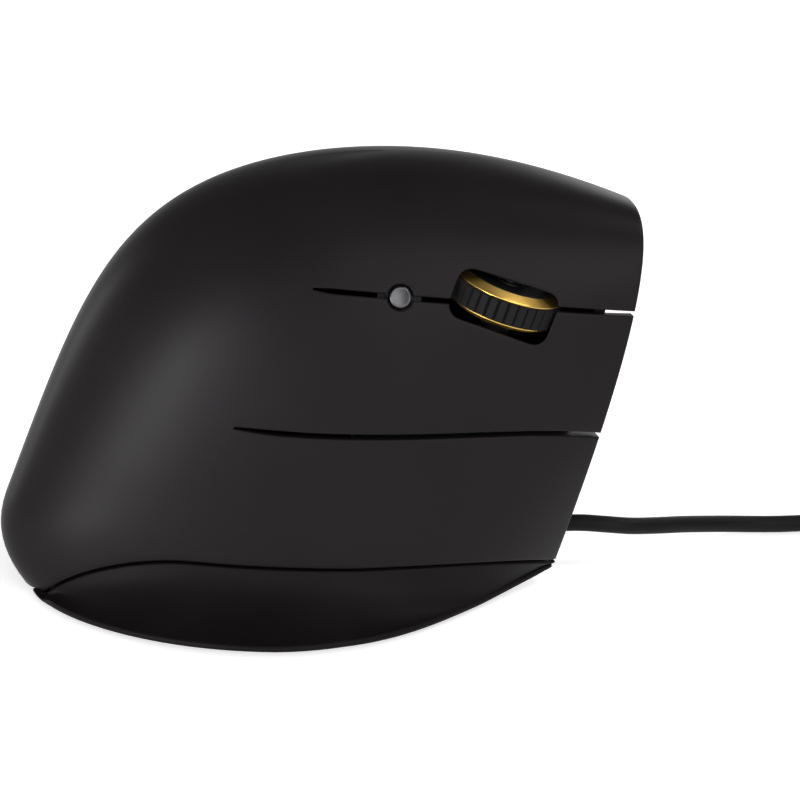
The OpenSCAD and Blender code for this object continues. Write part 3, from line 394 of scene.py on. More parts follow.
ROOT_END = KNOB_S - (KNOB_HOLE + 0.12) / KNOB_PACE - 0.01


def root_columns(end, count):
    """Columns from the root on, the first ones close together."""
    return np.concatenate([[SLIT_ROOT], np.linspace(SLIT_ROOT + 0.004, end, count)])


def plate_columns(face):
    knob = notch(KNOB_S, KNOB_HOLE, KNOB_PACE, 28)
    wheel = notch(WHEEL_S, slot_reach(face), WHEEL_PACE, 64)
    front = front_steps(1, WHEEL_PACE)
    return np.concatenate([
        root_columns(ROOT_END, 14), knob, np.linspace(knob[-1], wheel[0], 10)[1:-1], wheel,
        np.linspace(wheel[-1], front[0], 22)[1:-1], front])


def low_columns(face):
    front = front_steps(1, WHEEL_PACE)
    return np.concatenate([root_columns(front[0] - 0.02, 70), front])


def rooted(s, t):
    """The columns near the root bend to the root's slanting line."""
    return s + (root(t) - SLIT_ROOT) * clip(1 - (s - SLIT_ROOT) / (ROOT_END - SLIT_ROOT))


def plate_points(columns, count, low, high, face, slits, high_side):
    """Grid of a plate's outer or inner face, with the rounded edges in the outer one. The edges
    that are named as slits run out at the root; a seam's edge runs on into the palm cover."""
    s = columns(face)
    bottom, top = low(s, face)[:, None], high(s, face)[:, None]
    s = s[:, None]
    shares, offsets = edge_rows(count)
    low_k = t_per_mm(FINGER, s, bottom)
    high_k = t_per_mm(high_side, s, top if high_side == FINGER else 2 - top)
    g = mix(bottom, top, shares) + offsets * mix(low_k, high_k, shares)
    from_low, from_high, from_front = (g - bottom) / low_k, (top - g) / high_k, (1 - s) * WHEEL_PACE
    s = rooted(s, np.minimum(g, 2 - g))
    if face == INNER:
        return over(s, g, WALL)
    seams, slit = from_front + 0 * g, 100 + 0 * g
    for name, distance in (("low", from_low), ("high", from_high)):
        if name in slits:
            slit = np.minimum(slit, distance)
        else:
            seams = np.minimum(seams, distance)
    # Round the openings the edge is measured squarely, not along the columns
    slit = np.where(slit < 6, np.minimum(slit, np.maximum(from_slit(s, g), 0)), slit)
    fade = clip((s - root(np.minimum(g, 2 - g))) / 0.02)
    return over(s, g, np.maximum(rolled(seams), rolled(slit) * fade))


def button_plate(name, columns, count, low, high, axis, node, material, slits,
                 high_side=FINGER):
    """A plate that starts from the palm cover at its root. It is baked where it lies and rides on
    no body.
    """
    outer = plate_points(columns, count, low, high, OUTER, slits, high_side)
    inner = plate_points(columns, count, low, high, INNER, slits, high_side)
    piece = make_piece(name, closed_sheet(outer, inner), material, None, [node])
    a, b = np.array(axis)
    forward = np.array([1.0, 0, 0])
    forward = unit(forward - (b - a) * (forward @ (b - a)) / ((b - a) @ (b - a)))
    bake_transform(piece)
    return piece


def palm_low(side, s):
    if side == FINGER:
        return np.maximum(0, seam_edge(s, np.where(s > LEDGE_START, 1, 0)))
    gap = t_per_mm(THUMB, s, parting(s)) * PARTING_GAP / 2
    return parting(s) + np.where(s > -0.7, gap, 0)


def palm_half(side, columns, shares, offsets):
    """Half of the palm cover: the outer and inner grids from the root to the rear meridian."""
    s = mix(-1, SLIT_ROOT, columns[:, None] + 0 * shares)
    for _ in range(4):
        low = palm_low(side, s)
        k = t_per_mm(side, s, low)
        t = mix(low, 1, shares) + offsets * k
        s = mix(-1, root(t) if side == FINGER else SLIT_ROOT, columns[:, None])
    near = (t - low) / k
    return under(side, s, t, rolled(near)), under(side, s, t, WALL)


def make_palm(material):
    columns = np.append(np.linspace(0, 0.996, 74), 1)
    share = np.linspace(0, 1, 96)
    shares = np.concatenate([0 * EDGE_STEPS, share])
    offsets = np.concatenate([EDGE_STEPS, ROLL * (1 - share)])
    finger = palm_half(FINGER, columns, shares, offsets)
    thumb = palm_half(THUMB, columns, shares, offsets)
    for a, b in zip(finger, thumb):
        b[:, -1] = a[:, -1]
    outer, inner = (np.concatenate([a[::-1], b[1:]]) for a, b in zip(finger, thumb))
    return make_piece("palm_cover", closed_sheet(outer, inner, high_rim=False), material, "base",
                      ["palm_shell"])


THUMB_REAR_S, THUMB_FRONT_S = -0.69, 0.93
WINDOW_FROM, WINDOW_TO, WINDOW_GIRTH = 0.02, 0.86, 0.66
WINDOW_EDGE = 0.001
THUMB_SPLIT = 0.44
THUMB_PACE = 1 / s_per_mm(THUMB, 0.4, WINDOW_GIRTH)


def thumb_under(s, t, depth):
    """Near the foot the wall is measured level, so that its inner edge stays off the desk."""
    inward = unit(mix(plan_out(THUMB, s), outward(THUMB, s, t), ease(t / 0.12)[..., None]))
    return skin(THUMB, s, t) - np.asarray(depth)[..., None] * inward


def make_thumb_shell(material):
    edge = np.append(EDGE_STEPS, ROLL) / THUMB_PACE
    s = np.concatenate([
        np.linspace(THUMB_REAR_S, WINDOW_FROM - WINDOW_EDGE - 0.01, 60),
        WINDOW_FROM - WINDOW_EDGE - edge[::-1],
        np.linspace(WINDOW_FROM + WINDOW_EDGE, WINDOW_TO - WINDOW_EDGE, 50),
        WINDOW_TO + WINDOW_EDGE + edge,
        np.linspace(WINDOW_TO + 0.012, THUMB_FRONT_S - 0.01, 4),
        THUMB_FRONT_S - edge[::-1]])
    upper = parting(s) - t_per_mm(THUMB, s, parting(s)) * PARTING_GAP / 2
    top = np.where((s > WINDOW_FROM) & (s < WINDOW_TO), WINDOW_GIRTH, upper)[:, None]
    shares, offsets = edge_rows(70)
    k = t_per_mm(THUMB, s[:, None], top * shares)
    t = np.clip(top * shares + offsets * k, 0, None)
    s = s[:, None]
    beside = np.maximum(np.maximum(WINDOW_FROM - s, s - WINDOW_TO) * THUMB_PACE, 0)
    below = np.maximum((WINDOW_GIRTH - t) / k, 0)
    near = np.minimum(np.minimum(t / k, (top - t) / k), (THUMB_FRONT_S - s) * THUMB_PACE)
    near = np.minimum(near, np.hypot(beside, below))
    s = s + 0 * t
    bm = closed_sheet(thumb_under(s, t, rolled(np.maximum(near, 0))), thumb_under(s, t, WALL))
    return make_piece("thumb_cover", bm, material, "base", ["thumb_shell"])


def make_thumb_button(name, start, end, body, node, material):
    """A thumb button: a softly crowned bar with rounded edges, flush at its rim."""
    half_gap = PARTING_GAP / 2
    s_low, s_high = start + half_gap / THUMB_PACE, end - half_gap / THUMB_PACE
    middle = (start + end) / 2
    t_low = WINDOW_GIRTH + PARTING_GAP * t_per_mm(THUMB, middle, WINDOW_GIRTH)
    t_high = PARTING_GIRTH - half_gap * t_per_mm(THUMB, middle, PARTING_GIRTH)
    shares, offsets = edge_rows(30)
    s = (s_low + (s_high - s_low) * shares + offsets / THUMB_PACE)[:, None]
    k = t_per_mm(THUMB, middle, (t_low + t_high) / 2)
    t = t_low + (t_high - t_low) * shares + offsets * k + 0 * s
    s = s + 0 * t
    sides = np.minimum(s - s_low, s_high - s) * THUMB_PACE
    near = np.minimum(sides, np.minimum(t - t_low, t_high - t) / k)
    crown = 0.9 * ease(near / 2.2) * (1 - 0.25 * ease(near / 5))
    bm = closed_sheet(thumb_under(s, t, rolled(near) - crown), thumb_under(s, t, WALL))
    return make_piece(name, bm, material, body, [node])


PANEL_S = 0.91


def panel(k, t):
    clear = mix(0.1, 1.3, ease((t - 0.6) / 0.2))
    return mix(under(FINGER, PANEL_S + 0 * t, t, WALL + 1.3 + 0 * t),
               under(THUMB, PANEL_S + 0 * t, t, WALL + clear), k[..., None])


def make_front_panel(material):
    k, t = np.meshgrid(np.linspace(0, 1, 40), np.linspace(0, 0.9, 70), indexing="ij")
    face = unit(np.cross(panel(k + 0.01, t) - panel(k - 0.01, t),
                         panel(k, t + 0.01) - panel(k, t - 0.01)))
    return make_piece("front_panel_face", closed_sheet(panel(k, t), panel(k, t) - 2 * face),
                      material, "base", ["front_panel"])


# Ledge

LEDGE_WIDTH = 14.2


def make_ledge(material):
    """The little finger's ledge: a hollow flare under the seam with a thin rounded rim."""
    s = np.concatenate([np.linspace(LEDGE_START, 0.97, 150), [0.98, 0.99, 0.996, 1]])
    t = np.maximum(0, seam_edge(s, -1))
    roll = np.minimum(0.3 * t_per_mm(FINGER, s, t), t)
    seat = skin(FINGER, s, t - roll)
    foot, out = skin(FINGER, s, 0), plan_out(FINGER, s)
    rear = LEDGE_WIDTH * np.sin(np.pi / 2 * clip((s + 0.86) / 0.7) ** 1.25)
    front = mix(0.3, LEDGE_WIDTH, np.cos(np.pi / 2 * clip((foot[:, 0] + 9.1) / 48)) ** 2)
    reach = np.where(s < -0.16, rear, front)[:, None]
    low = 1 + 1.8 * clip((s - 0.6) / 0.4) ** 1.5
    rim = low + np.minimum(1.2, 0.7 * (seat[:, 2] - low))
    half = ((rim - low) / 2)[:, None]
    edge = np.column_stack([foot[:, :2], rim]) + (reach - 0.7 * half) * out
    waist = np.column_stack([foot[:, :2], mix(rim, seat[:, 2], 0.15)]) + 0.12 * reach * out
    up = np.array([0, 0, 1.0])
    section = [under(FINGER, s, t, WALL + 0 * s), under(FINGER, s, t, 0.3 + 0 * s),
               under(FINGER, s, t - 0.15 * roll, 0.15 + 0 * s),
               under(FINGER, s, t - 0.5 * roll, 0.04 + 0 * s)]
    section += [(1 - k) ** 2 * seat + 2 * k * (1 - k) * waist + k * k * edge
                for k in np.linspace(0, 1, 40)]
    middle = edge - half * up
    section += [middle + half * (0.7 * math.cos(a) * out + math.sin(a) * up)
                for a in np.linspace(math.pi / 2, -math.pi / 2, 11)[1:]]
    inner = under(FINGER, s, 0 * s, WALL + 0 * s)
    section.append(np.column_stack([inner[:, :2], low]))
    return make_piece("finger_rest", closed_ring(np.stack(section, axis=1)), material, "base",
                      ["finger_ledge"])


# Wheel and round button

WHEEL_CENTRE = (33.8235, -10.2972, 58.2406)
WHEEL_AXIS = Vector((0.324534, 0.05935, 0.94401))
WHEEL_IN = Vector((-0.00292, 0.99809, -0.06175))
WHEEL_FRAME = frame_at(WHEEL_CENTRE, WHEEL_IN.cross(WHEEL_AXIS), WHEEL_AXIS)
WHEEL_RADIUS = 10.8
TYRE_RIBS = 36
GROOVE_DEPTH, GROOVE_SHARE, GROOVE_FLOOR = 0.5, 0.17, 9.4
# Inside this radius the hub's side faces are black: painted shade.
PAINTED_SHADE_RADIUS = 8.5
KNOB_AT = (14.8169, -18.2287, 61.0102)
KNOB_OUT = Vector((0.02587, -0.92244, 0.38528))
KNOB_FRAME = frame_at(KNOB_AT, (1, 0, 0), KNOB_OUT)


def make_tyre(material):
    """Rubber tyre with rounded shoulders and narrow grooves across its tread."""
    half, seat, shoulder = 2.15, 8.82, 0.5
    arc = np.linspace(0, math.pi / 2, 5)
    upper = [(WHEEL_RADIUS - shoulder + shoulder * math.sin(a), half - shoulder
              + shoulder * math.cos(a)) for a in arc]
    lower = [(r, -z) for r, z in reversed(upper)]
    tread = [(WHEEL_RADIUS, z) for z in np.linspace(half - shoulder, shoulder - half, 7)[1:-1]]
    profile = [(seat, -half), (seat, half)] + upper + tread + lower
    bm = turned(profile, TYRE_RIBS * 12, Matrix.Identity(4))
    for vert in bm.verts:
        radius = math.hypot(vert.co.x, vert.co.y) / MM
        phase = math.atan2(vert.co.y, vert.co.x) / (2 * math.pi) * TYRE_RIBS % 1
        across = min(phase, 1 - phase)
        groove = GROOVE_DEPTH * (1 - float(ease(across / GROOVE_SHARE)))
        ridge = max(0.0, (radius - GROOVE_FLOOR) / (WHEEL_RADIUS - GROOVE_FLOOR))
        shrink = 1 - groove * min(1, ridge * 1.6) / radius
        vert.co.x *= shrink
        vert.co.y *= shrink
    bmesh.ops.transform(bm, matrix=WHEEL_FRAME, verts=bm.verts)
    return make_piece("wheel_tread", bm, material, "wheel", ["wheel_tyre"], 50)


def make_hub(material, painted_shade_material):
    """Hub: two gold rims that slope away from the tyre, and dished side faces in black that is
    painted shade, for the part of the flank that lies in shadow deep in the slot.
    """
    half, rim, seat, tyre = 3.35, 10.3, 8.8, 2.17
    side = [(1.22, half - 0.2), (2.6, half - 0.2), (2.75, half - 0.5), (7.2, half - 0.5),
            (7.6, half - 0.12), (8.0, half), (8.45, half), (8.56, half - 0.04),
            (rim - 0.32, 2.5), (rim - 0.16, 2.43), (rim - 0.05, 2.36), (rim, 2.28), (rim, tyre),
            (seat, tyre)]
    profile = side + [(r, -z) for r, z in reversed(side)]
    hub = make_piece("wheel_rims", turned(profile, 144, WHEEL_FRAME), material, "wheel",
                     ["wheel_hub"])
    hub.data.materials.append(painted_shade_material)
    # Faces inside the radius take the black: painted shade for the flank in shadow under the slot's
    # edge.
    to_wheel = WHEEL_FRAME.inverted()
    for face in hub.data.polygons:
        local = to_wheel @ face.center
        face.material_index = int(math.hypot(local.x, local.y) < PAINTED_SHADE_RADIUS * MM)
    return hub


def make_round_button(material):
    """Slim round button with a dished, spun face and a bright chamfer."""
    face = [(r, 0.3 - 0.14 * (1 - (r / 1.62) ** 2)) for r in np.linspace(0.02, 1.62, 8)]
    profile = face + [(1.7, 0.3), (1.85, 0.24), (1.97, 0.1), (2, -0.05), (2, -6.2), (0.02, -6.2)]
    return make_piece("round_button_cap", turned(profile, 72, KNOB_FRAME), material,
                      "round_button", ["rear_button"])


def make_sleeve(material):
    """Black sleeve of the round button under the plates, with a rounded lip. Its black is darker
    than the other plastics: painted shade, so that the slit round the button reads as a dark gap.
    """
    lip = [(2.05, -2.9), (2.09, -2.76), (2.18, -2.7), (2.36, -2.7), (2.46, -2.76), (2.5, -2.9)]
    profile = lip + [(2.5, -3.7), (4, -3.7), (4, -9.4), (3.1, -9.4), (3.1, -4.6), (2.05, -4.6)]
    return make_piece("round_button_sleeve", turned(profile, 72, KNOB_FRAME), material, "base",
                      ["rear_button_sleeve"])


# Cord

CORD_RADIUS = 1.6
COIL_PLACE = np.array([126.0, 3.0])
COIL_PITCH, COIL_LAYERS, COIL_TURNS = 3.8, 4, 15.25
COIL_LOW = 3.2
COIL_TOP = COIL_LOW + (COIL_LAYERS - 1) * COIL_PITCH
LAYER_TURNS = COIL_TURNS / COIL_LAYERS
COIL_MIDDLE = 18
COIL_OUTER = COIL_MIDDLE + LAYER_TURNS * COIL_PITCH / 2
COIL_INNER = COIL_MIDDLE - LAYER_TURNS * COIL_PITCH / 2
COIL_START = np.array([COIL_PLACE[0], COIL_PLACE[1] + COIL_OUTER, COIL_TOP])
ROUTE = np.array([
    [46.4, 0, 8], [50, 0, 8], [54, 0.2, 7.6], [59, 1.3, 6.75], [64, 3.6, 5.8], [69, 6.4, 4.75],
    [74, 9, 3.65], [79, 11.1, 2.7], [84, 12.5, 2], [89, 13.3, 1.7], [93.8, 14.2, 1.7],
    [98, 16.3, 2.5], [101.9, 19, 4.4], [105.5, 21.9, 7.1], [109.1, 24.6, 10], [112.7, 26.7, 12.5],
    [116.2, 27.9, 14.1], COIL_START - [6.4, 0, 0], COIL_START - [3.2, 0, 0]])
TIE_TURN = math.radians(225)
PLUG_AT = np.array([151.244, -18.2437, 3.2])
PLUG_SIZE = Vector((15.5, 22, 6.4)) * MM
OUTLET_HEIGHT = 8


def coil_points(turns):
    """The coil winds down from its top layer, in and out by turns, and drops where it reverses."""
    phase = turns / LAYER_TURNS
    radius = mix(COIL_OUTER, COIL_INNER, 1 - np.abs(1 - phase % 2))
    drops = sum(ease((turns - layer * LAYER_TURNS) / 0.5 + 0.5) for layer in (1, 2, 3))
    angle = np.pi / 2 - 2 * np.pi * turns
    return np.column_stack([COIL_PLACE[0] + radius * np.cos(angle),
                            COIL_PLACE[1] + radius * np.sin(angle), COIL_TOP - COIL_PITCH * drops])


def through(points, before, after, count):
    """A smooth line through points, with the neighbours before and after them."""
    p = np.concatenate([[before], points, [after]])
    line = []
    for a, b, c, d in zip(p, p[1:], p[2:], p[3:]):
        for k in np.arange(count) / count:
            line.append(0.5 * (2 * b + (c - a) * k + (2 * a - 5 * b + 4 * c - d) * k ** 2
                               + (3 * b - a - 3 * c + d) * k ** 3))
    return np.array(line)


def cord_path():
    coil = coil_points(np.linspace(0, COIL_TURNS, round(COIL_TURNS * 48) + 1))
    free = through(np.append(ROUTE, coil[:1], axis=0), 2 * ROUTE[0] - ROUTE[1], coil[1], 6)
    tail = np.linspace(coil[-1], PLUG_AT, 12)[1:]
    return np.concatenate([free, coil, tail])


def make_cord(material):
    path = cord_path()
    run = unit(np.gradient(path, axis=0))
    level = unit(np.cross(run, [0, 0, 1.0]))
    upright = np.cross(level, run)
    ring = np.linspace(0, 2 * np.pi, 20, endpoint=False)[None, :, None]
    points = path[:, None] + CORD_RADIUS * (np.cos(ring) * level[:, None]
                                            + np.sin(ring) * upright[:, None])
    cord = make_piece("cord", closed_ring(points), material, "base", ["cable", "cable_coil"])
    return cord, path


def make_tie(material):
    """A soft strap round the coil, with rounded corners and edges."""
    low, high = COIL_LOW - CORD_RADIUS - 0.3, COIL_TOP + CORD_RADIUS + 0.3
    near, far = COIL_INNER - CORD_RADIUS - 0.9, COIL_OUTER + CORD_RADIUS + 0.3
    strap, corner, width = 1.2, 2.0, 5.0
    centre = np.array([(near + far) / 2, (low + high) / 2])
    half = np.array([(far - near) / 2, (high - low) / 2]) + strap - corner
    loop = []
    for i, (x, y) in enumerate([(1, 1), (-1, 1), (-1, -1), (1, -1)]):
        for a in np.linspace(0, np.pi / 2, 9) + i * np.pi / 2:
            loop.append((centre + half * [x, y], np.array([math.cos(a), math.sin(a)])))
    turn = TIE_TURN
    side = np.array([-math.sin(turn), math.cos(turn), 0])
    section = []
    for a in np.linspace(0, 2 * np.pi, 24, endpoint=False):
        x, y = math.cos(a), math.sin(a)
        section.append((np.sign(y) * abs(y) ** 0.3 * width / 2,
                        corner - strap / 2 + np.sign(x) * abs(x) ** 0.4 * strap / 2))
    points = np.zeros((len(loop) + 1, len(section), 3))
    for i, (place, out) in enumerate(loop + loop[:1]):
        for j, (across, depth) in enumerate(section):
            r, z = place + out * depth
            points[i, j] = [COIL_PLACE[0] + r * math.cos(turn), COIL_PLACE[1]
                            + r * math.sin(turn), z] + across * side
    bm = bmesh.new()
    drape(bm, np.concatenate([points, points[:, :1]], axis=1))
    return make_piece("cord_tie", bm, material, "base", ["cable_tie"])


def make_plug(material):
    """Moulded grip of the plug, with rounded edges and a sunk panel on each flat side."""
    bm = bmesh.new()
    bmesh.ops.create_cube(bm, size=1)
    size = Matrix.Diagonal((*PLUG_SIZE, 1))
    place = Matrix.Translation(Vector(PLUG_AT) * MM - Vector((0, PLUG_SIZE.y / 2, 0)))
    bmesh.ops.transform(bm, matrix=place @ size, verts=bm.verts)
    flat = [f for f in bm.faces if abs(f.normal.z) > 0.9]
    edges = [e for e in bm.edges if abs(e.calc_face_angle(0)) > 1]
    bmesh.ops.inset_individual(bm, faces=flat, thickness=3 * MM)
    bmesh.ops.inset_individual(bm, faces=flat, thickness=0.4 * MM, depth=-0.5 * MM)
    bmesh.ops.bevel(bm, geom=edges, offset=1.5 * MM, offset_type="OFFSET", segments=5, profile=0.5,
                    affect="EDGES", material=-1)
    return make_piece("plug_grip", bm, material, "base", ["usb_plug_body"])


def make_strain_relief(material):
    """Gland of the cord in the front panel: a flange, a neck and a ringed taper."""
    start, tip = (corner.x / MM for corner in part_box("strain_relief"))
    front = start + 5.9
    taper = []
    for k in np.linspace(0, 1, 25):
        groove = 0.16 * (1 - math.cos(8 * math.pi * k)) / 2
        taper.append((mix(2.9, 2.15, k) - groove, front + (tip - front) * k))
    profile = [(0.02, start), (4.4, start), (4.4, start + 1.5), (2.9, start + 1.5)] + taper
    profile.append((0.02, tip))
    place = frame_at((0, 0, OUTLET_HEIGHT), (0, 1, 0), (1, 0, 0))
    return make_piece("cord_gland", turned(profile, 48, place), material, "base",
                      ["strain_relief"])


# Materials

def new_group(name, inputs, outputs):
    group = bpy.data.node_groups.new(name, "ShaderNodeTree")
    for socket, value in inputs:
        made = group.interface.new_socket(socket, in_out="INPUT", socket_type="NodeSocketFloat")
        made.default_value = value
    for socket in outputs:
        group.interface.new_socket(socket, in_out="OUTPUT", socket_type="NodeSocketFloat")
    return group, group.nodes.new("NodeGroupInput"), group.nodes.new("NodeGroupOutput")


def grain_group():
    """Grain of moulded plastic: fine pebbles for the height, and broad patches."""
    group, given, put = new_group("moulded_grain", [("Fine", 4000), ("Broad", 60)],
                                  ["Height", "Patches"])
    nodes, links = group.nodes, group.links
    place = nodes.new("ShaderNodeTexCoord")
    for scale, detail, output in (("Fine", 3, "Height"), ("Broad", 4, "Patches")):
        noise = nodes.new("ShaderNodeTexNoise")
        noise.inputs["Detail"].default_value = detail
        links.new(place.outputs["Object"], noise.inputs["Vector"])
        links.new(given.outputs[scale], noise.inputs["Scale"])
        links.new(noise.outputs["Fac"], put.inputs[output])
    return group


def srgb(r, g, b):
    def linear(v):
        v = v / 255
        return v / 12.92 if v <= 0.04045 else ((v + 0.055) / 1.055) ** 2.4
    return linear(r), linear(g), linear(b), 1


def ramp(tree, value, low, high):
    """A colour between two ends, led by a value that varies over the surface."""
    node = tree.nodes.new("ShaderNodeMix")
    node.data_type = "RGBA"
    node.inputs["A"].default_value = low
    node.inputs["B"].default_value = high
    tree.links.new(value, node.inputs["Factor"])
    return node.outputs["Result"]


def spread(tree, value, low, high, start=0.3, end=0.7):
    node = tree.nodes.new("ShaderNodeMapRange")
    for socket, number in (("From Min", start), ("From Max", end), ("To Min", low),
                           ("To Max", high)):
        node.inputs[socket].default_value = number
    tree.links.new(value, node.inputs["Value"])
    return node.outputs["Result"]


def bump(tree, shader, height, strength, depth):
    node = tree.nodes.new("ShaderNodeBump")
    node.inputs["Strength"].default_value = strength
    node.inputs["Distance"].default_value = depth * MM
    tree.links.new(height, node.inputs["Height"])
    tree.links.new(node.outputs["Normal"], shader.inputs["Normal"])
    return node


def finish(name, low, high, roughness, grain=(4000, 60), strength=0.1, depth=0.02, **sockets):
    """A material with a grained surface: its colour and roughness drift over broad patches."""
    material = bpy.data.materials.new(name)
    material.use_nodes = True
    tree = material.node_tree
    shader = tree.nodes["Principled BSDF"]
    surface = tree.nodes.new("ShaderNodeGroup")
    surface.name = "surface"
    surface.node_tree = GRAIN
    surface.inputs["Fine"].default_value, surface.inputs["Broad"].default_value = grain
    patches = surface.outputs["Patches"]
    tree.links.new(ramp(tree, spread(tree, patches, 0, 1), low, high), shader.inputs["Base Color"])
    tree.links.new(spread(tree, patches, *roughness), shader.inputs["Roughness"])
    bump(tree, shader, surface.outputs["Height"], strength, depth)
    for socket, value in sockets.items():
        shader.inputs[socket.replace("_", " ").title().replace("Ior", "IOR")].default_value = value
    return material


def spun_rings(material, placing, spacing, strength, depth):
    """Fine turning marks round an axis, added to a metal's bump."""
    tree = material.node_tree
    shader = tree.nodes["Principled BSDF"]
    place = tree.nodes.new("ShaderNodeTexCoord")
    centred = tree.nodes.new("ShaderNodeMapping")
    centred.vector_type = "TEXTURE"
    centred.inputs["Location"].default_value = placing.to_translation()
    centred.inputs["Rotation"].default_value = placing.to_euler()
    rings = tree.nodes.new("ShaderNodeTexWave")
    rings.wave_type = "RINGS"
    rings.rings_direction = "Z"
    rings.inputs["Scale"].default_value = 1 / (spacing * MM) / 20 * 2 * math.pi
    rings.inputs["Distortion"].default_value = 0.6
    rings.inputs["Detail"].default_value = 3
    tree.links.new(place.outputs["Object"], centred.inputs["Vector"])
    tree.links.new(centred.outputs["Vector"], rings.inputs["Vector"])
    bump(tree, shader, rings.outputs["Fac"], strength, depth)
    return material


def board_finish():
    """Green solder mask with a faint net of tracks under it."""
    material = finish("circuit_board_mask", srgb(30, 72, 48), srgb(42, 92, 62), (0.28, 0.4),
                      (3000, 90), 0.05, 0.01)
    tree = material.node_tree
    shader = tree.nodes["Principled BSDF"]
    place = tree.nodes.new("ShaderNodeTexCoord")
    tracks = tree.nodes.new("ShaderNodeTexBrick")
    tracks.inputs["Scale"].default_value = 220
    tracks.inputs["Mortar Size"].default_value = 0.03
    tracks.inputs["Color1"].default_value = srgb(30, 72, 48)
    tracks.inputs["Color2"].default_value = srgb(37, 84, 56)
    tracks.inputs["Mortar"].default_value = srgb(66, 120, 82)
    tree.links.new(place.outputs["Object"], tracks.inputs["Vector"])
    tree.links.new(tracks.outputs["Color"], shader.inputs["Base Color"])
    return material


def ribbon_finish():
    """Flat ribbon of grey wires side by side."""
    material = finish("ribbon_wires", srgb(120, 122, 126), srgb(150, 152, 156), (0.45, 0.55))
    tree = material.node_tree
    place = tree.nodes.new("ShaderNodeTexCoord")
    wires = tree.nodes.new("ShaderNodeTexWave")
    wires.bands_direction = "Y"
    wires.inputs["Scale"].default_value = 1 / (0.5 * MM) / 20 * 2 * math.pi
    tree.links.new(place.outputs["Object"], wires.inputs["Vector"])
    bump(tree, tree.nodes["Principled BSDF"], wires.outputs["Fac"], 0.6, 0.1)
    return material


GRAIN = grain_group()
SOFT_TOUCH = finish("soft_touch_black", srgb(24, 21, 23), srgb(27, 24, 26), (0.37, 0.42),
                    (5200, 45), 0.12, 0.015, specular_ior_level=0.1)
LEDGE_BLACK = finish("ledge_black", srgb(17, 14, 16), srgb(21, 18, 20), (0.48, 0.56), (3800, 50),
                     0.1, 0.015, specular_ior_level=0.08)
PANEL_BLACK = finish("panel_black", srgb(20, 19, 20), srgb(24, 23, 24), (0.5, 0.62), (2600, 60),
                     0.2, 0.03, specular_ior_level=0.2)
BUTTON_BLACK = finish("thumb_button_black", srgb(22, 21, 22), srgb(26, 25, 26), (0.36, 0.44),
                      (4200, 60), 0.08, 0.012, specular_ior_level=0.25)
BASE_BLACK = finish("base_black", srgb(26, 25, 26), srgb(33, 32, 33), (0.5, 0.66), (1900, 40), 0.3,
                    0.05, specular_ior_level=0.25)
# The sleeve's near-black is black plastic darkened further: painted shade for the slit round the
# round button.
SLEEVE_BLACK_AND_SHADE = finish("sleeve_black_and_painted_shade", srgb(9, 9, 9), srgb(14, 14, 14), (0.4, 0.55))
TYRE = finish("tyre_rubber", srgb(17, 16, 17), srgb(23, 22, 23), (0.6, 0.75), (5200, 240), 0.25,
              0.02, specular_ior_level=0.15)
GOLD = spun_rings(finish("rim_gold", srgb(222, 180, 88), srgb(238, 200, 112), (0.3, 0.4),
                         (2400, 120), metallic=1.0), WHEEL_FRAME, 0.12, 0.12, 0.01)
SILVER = spun_rings(finish("button_silver", srgb(78, 78, 80), srgb(92, 92, 94), (0.24, 0.32),
                           (2600, 300), metallic=1.0), KNOB_FRAME, 0.09, 0.15, 0.01)
STEEL = finish("screw_steel", srgb(168, 170, 174), srgb(194, 196, 200), (0.26, 0.42), (2200, 180),
               0.1, 0.01, metallic=1.0)
INNER_BLACK = finish("inner_black", srgb(15, 15, 16), srgb(20, 20, 21), (0.55, 0.66), (2400, 60),
                     0.15, 0.02, specular_ior_level=0.2)
YOKE_BLACK = finish("yoke_black", srgb(16, 16, 17), srgb(22, 22, 23), (0.5, 0.62), (2400, 60), 0.15,
                    0.02)
COMPONENT = finish("component_black", srgb(24, 24, 26), srgb(32, 32, 34), (0.38, 0.5), (3200, 120),
                   0.12, 0.015)
PLUNGER = finish("plunger_red", srgb(168, 48, 38), srgb(186, 62, 50), (0.35, 0.45), (3000, 150))
BOARD = board_finish()
GLIDE = finish("glide_white", srgb(206, 206, 200), srgb(220, 220, 215), (0.28, 0.42), (1500, 90),
               0.1, 0.02)
LENS = finish("lens_clear", srgb(200, 222, 232), srgb(214, 232, 240), (0.06, 0.1), (900, 60), 0.02,
              0.01, transmission_weight=0.9, ior=1.49)
RIBBON = ribbon_finish()
CORD_JACKET = finish("cord_jacket", srgb(17, 16, 17), srgb(22, 21, 22), (0.44, 0.56), (2800, 130),
                     0.14, 0.02, specular_ior_level=0.12)
STRAP = finish("strap_black", srgb(17, 17, 17), srgb(26, 26, 26), (0.75, 0.9), (2600, 300), 0.5,
               0.08)
PLUG_BLACK = finish("plug_black", srgb(22, 22, 23), srgb(28, 28, 29), (0.46, 0.58), (2400, 110),
                    0.2, 0.03)
TONGUE = finish("tongue_white", srgb(216, 216, 210), srgb(228, 228, 223), (0.4, 0.5), (2600, 200))

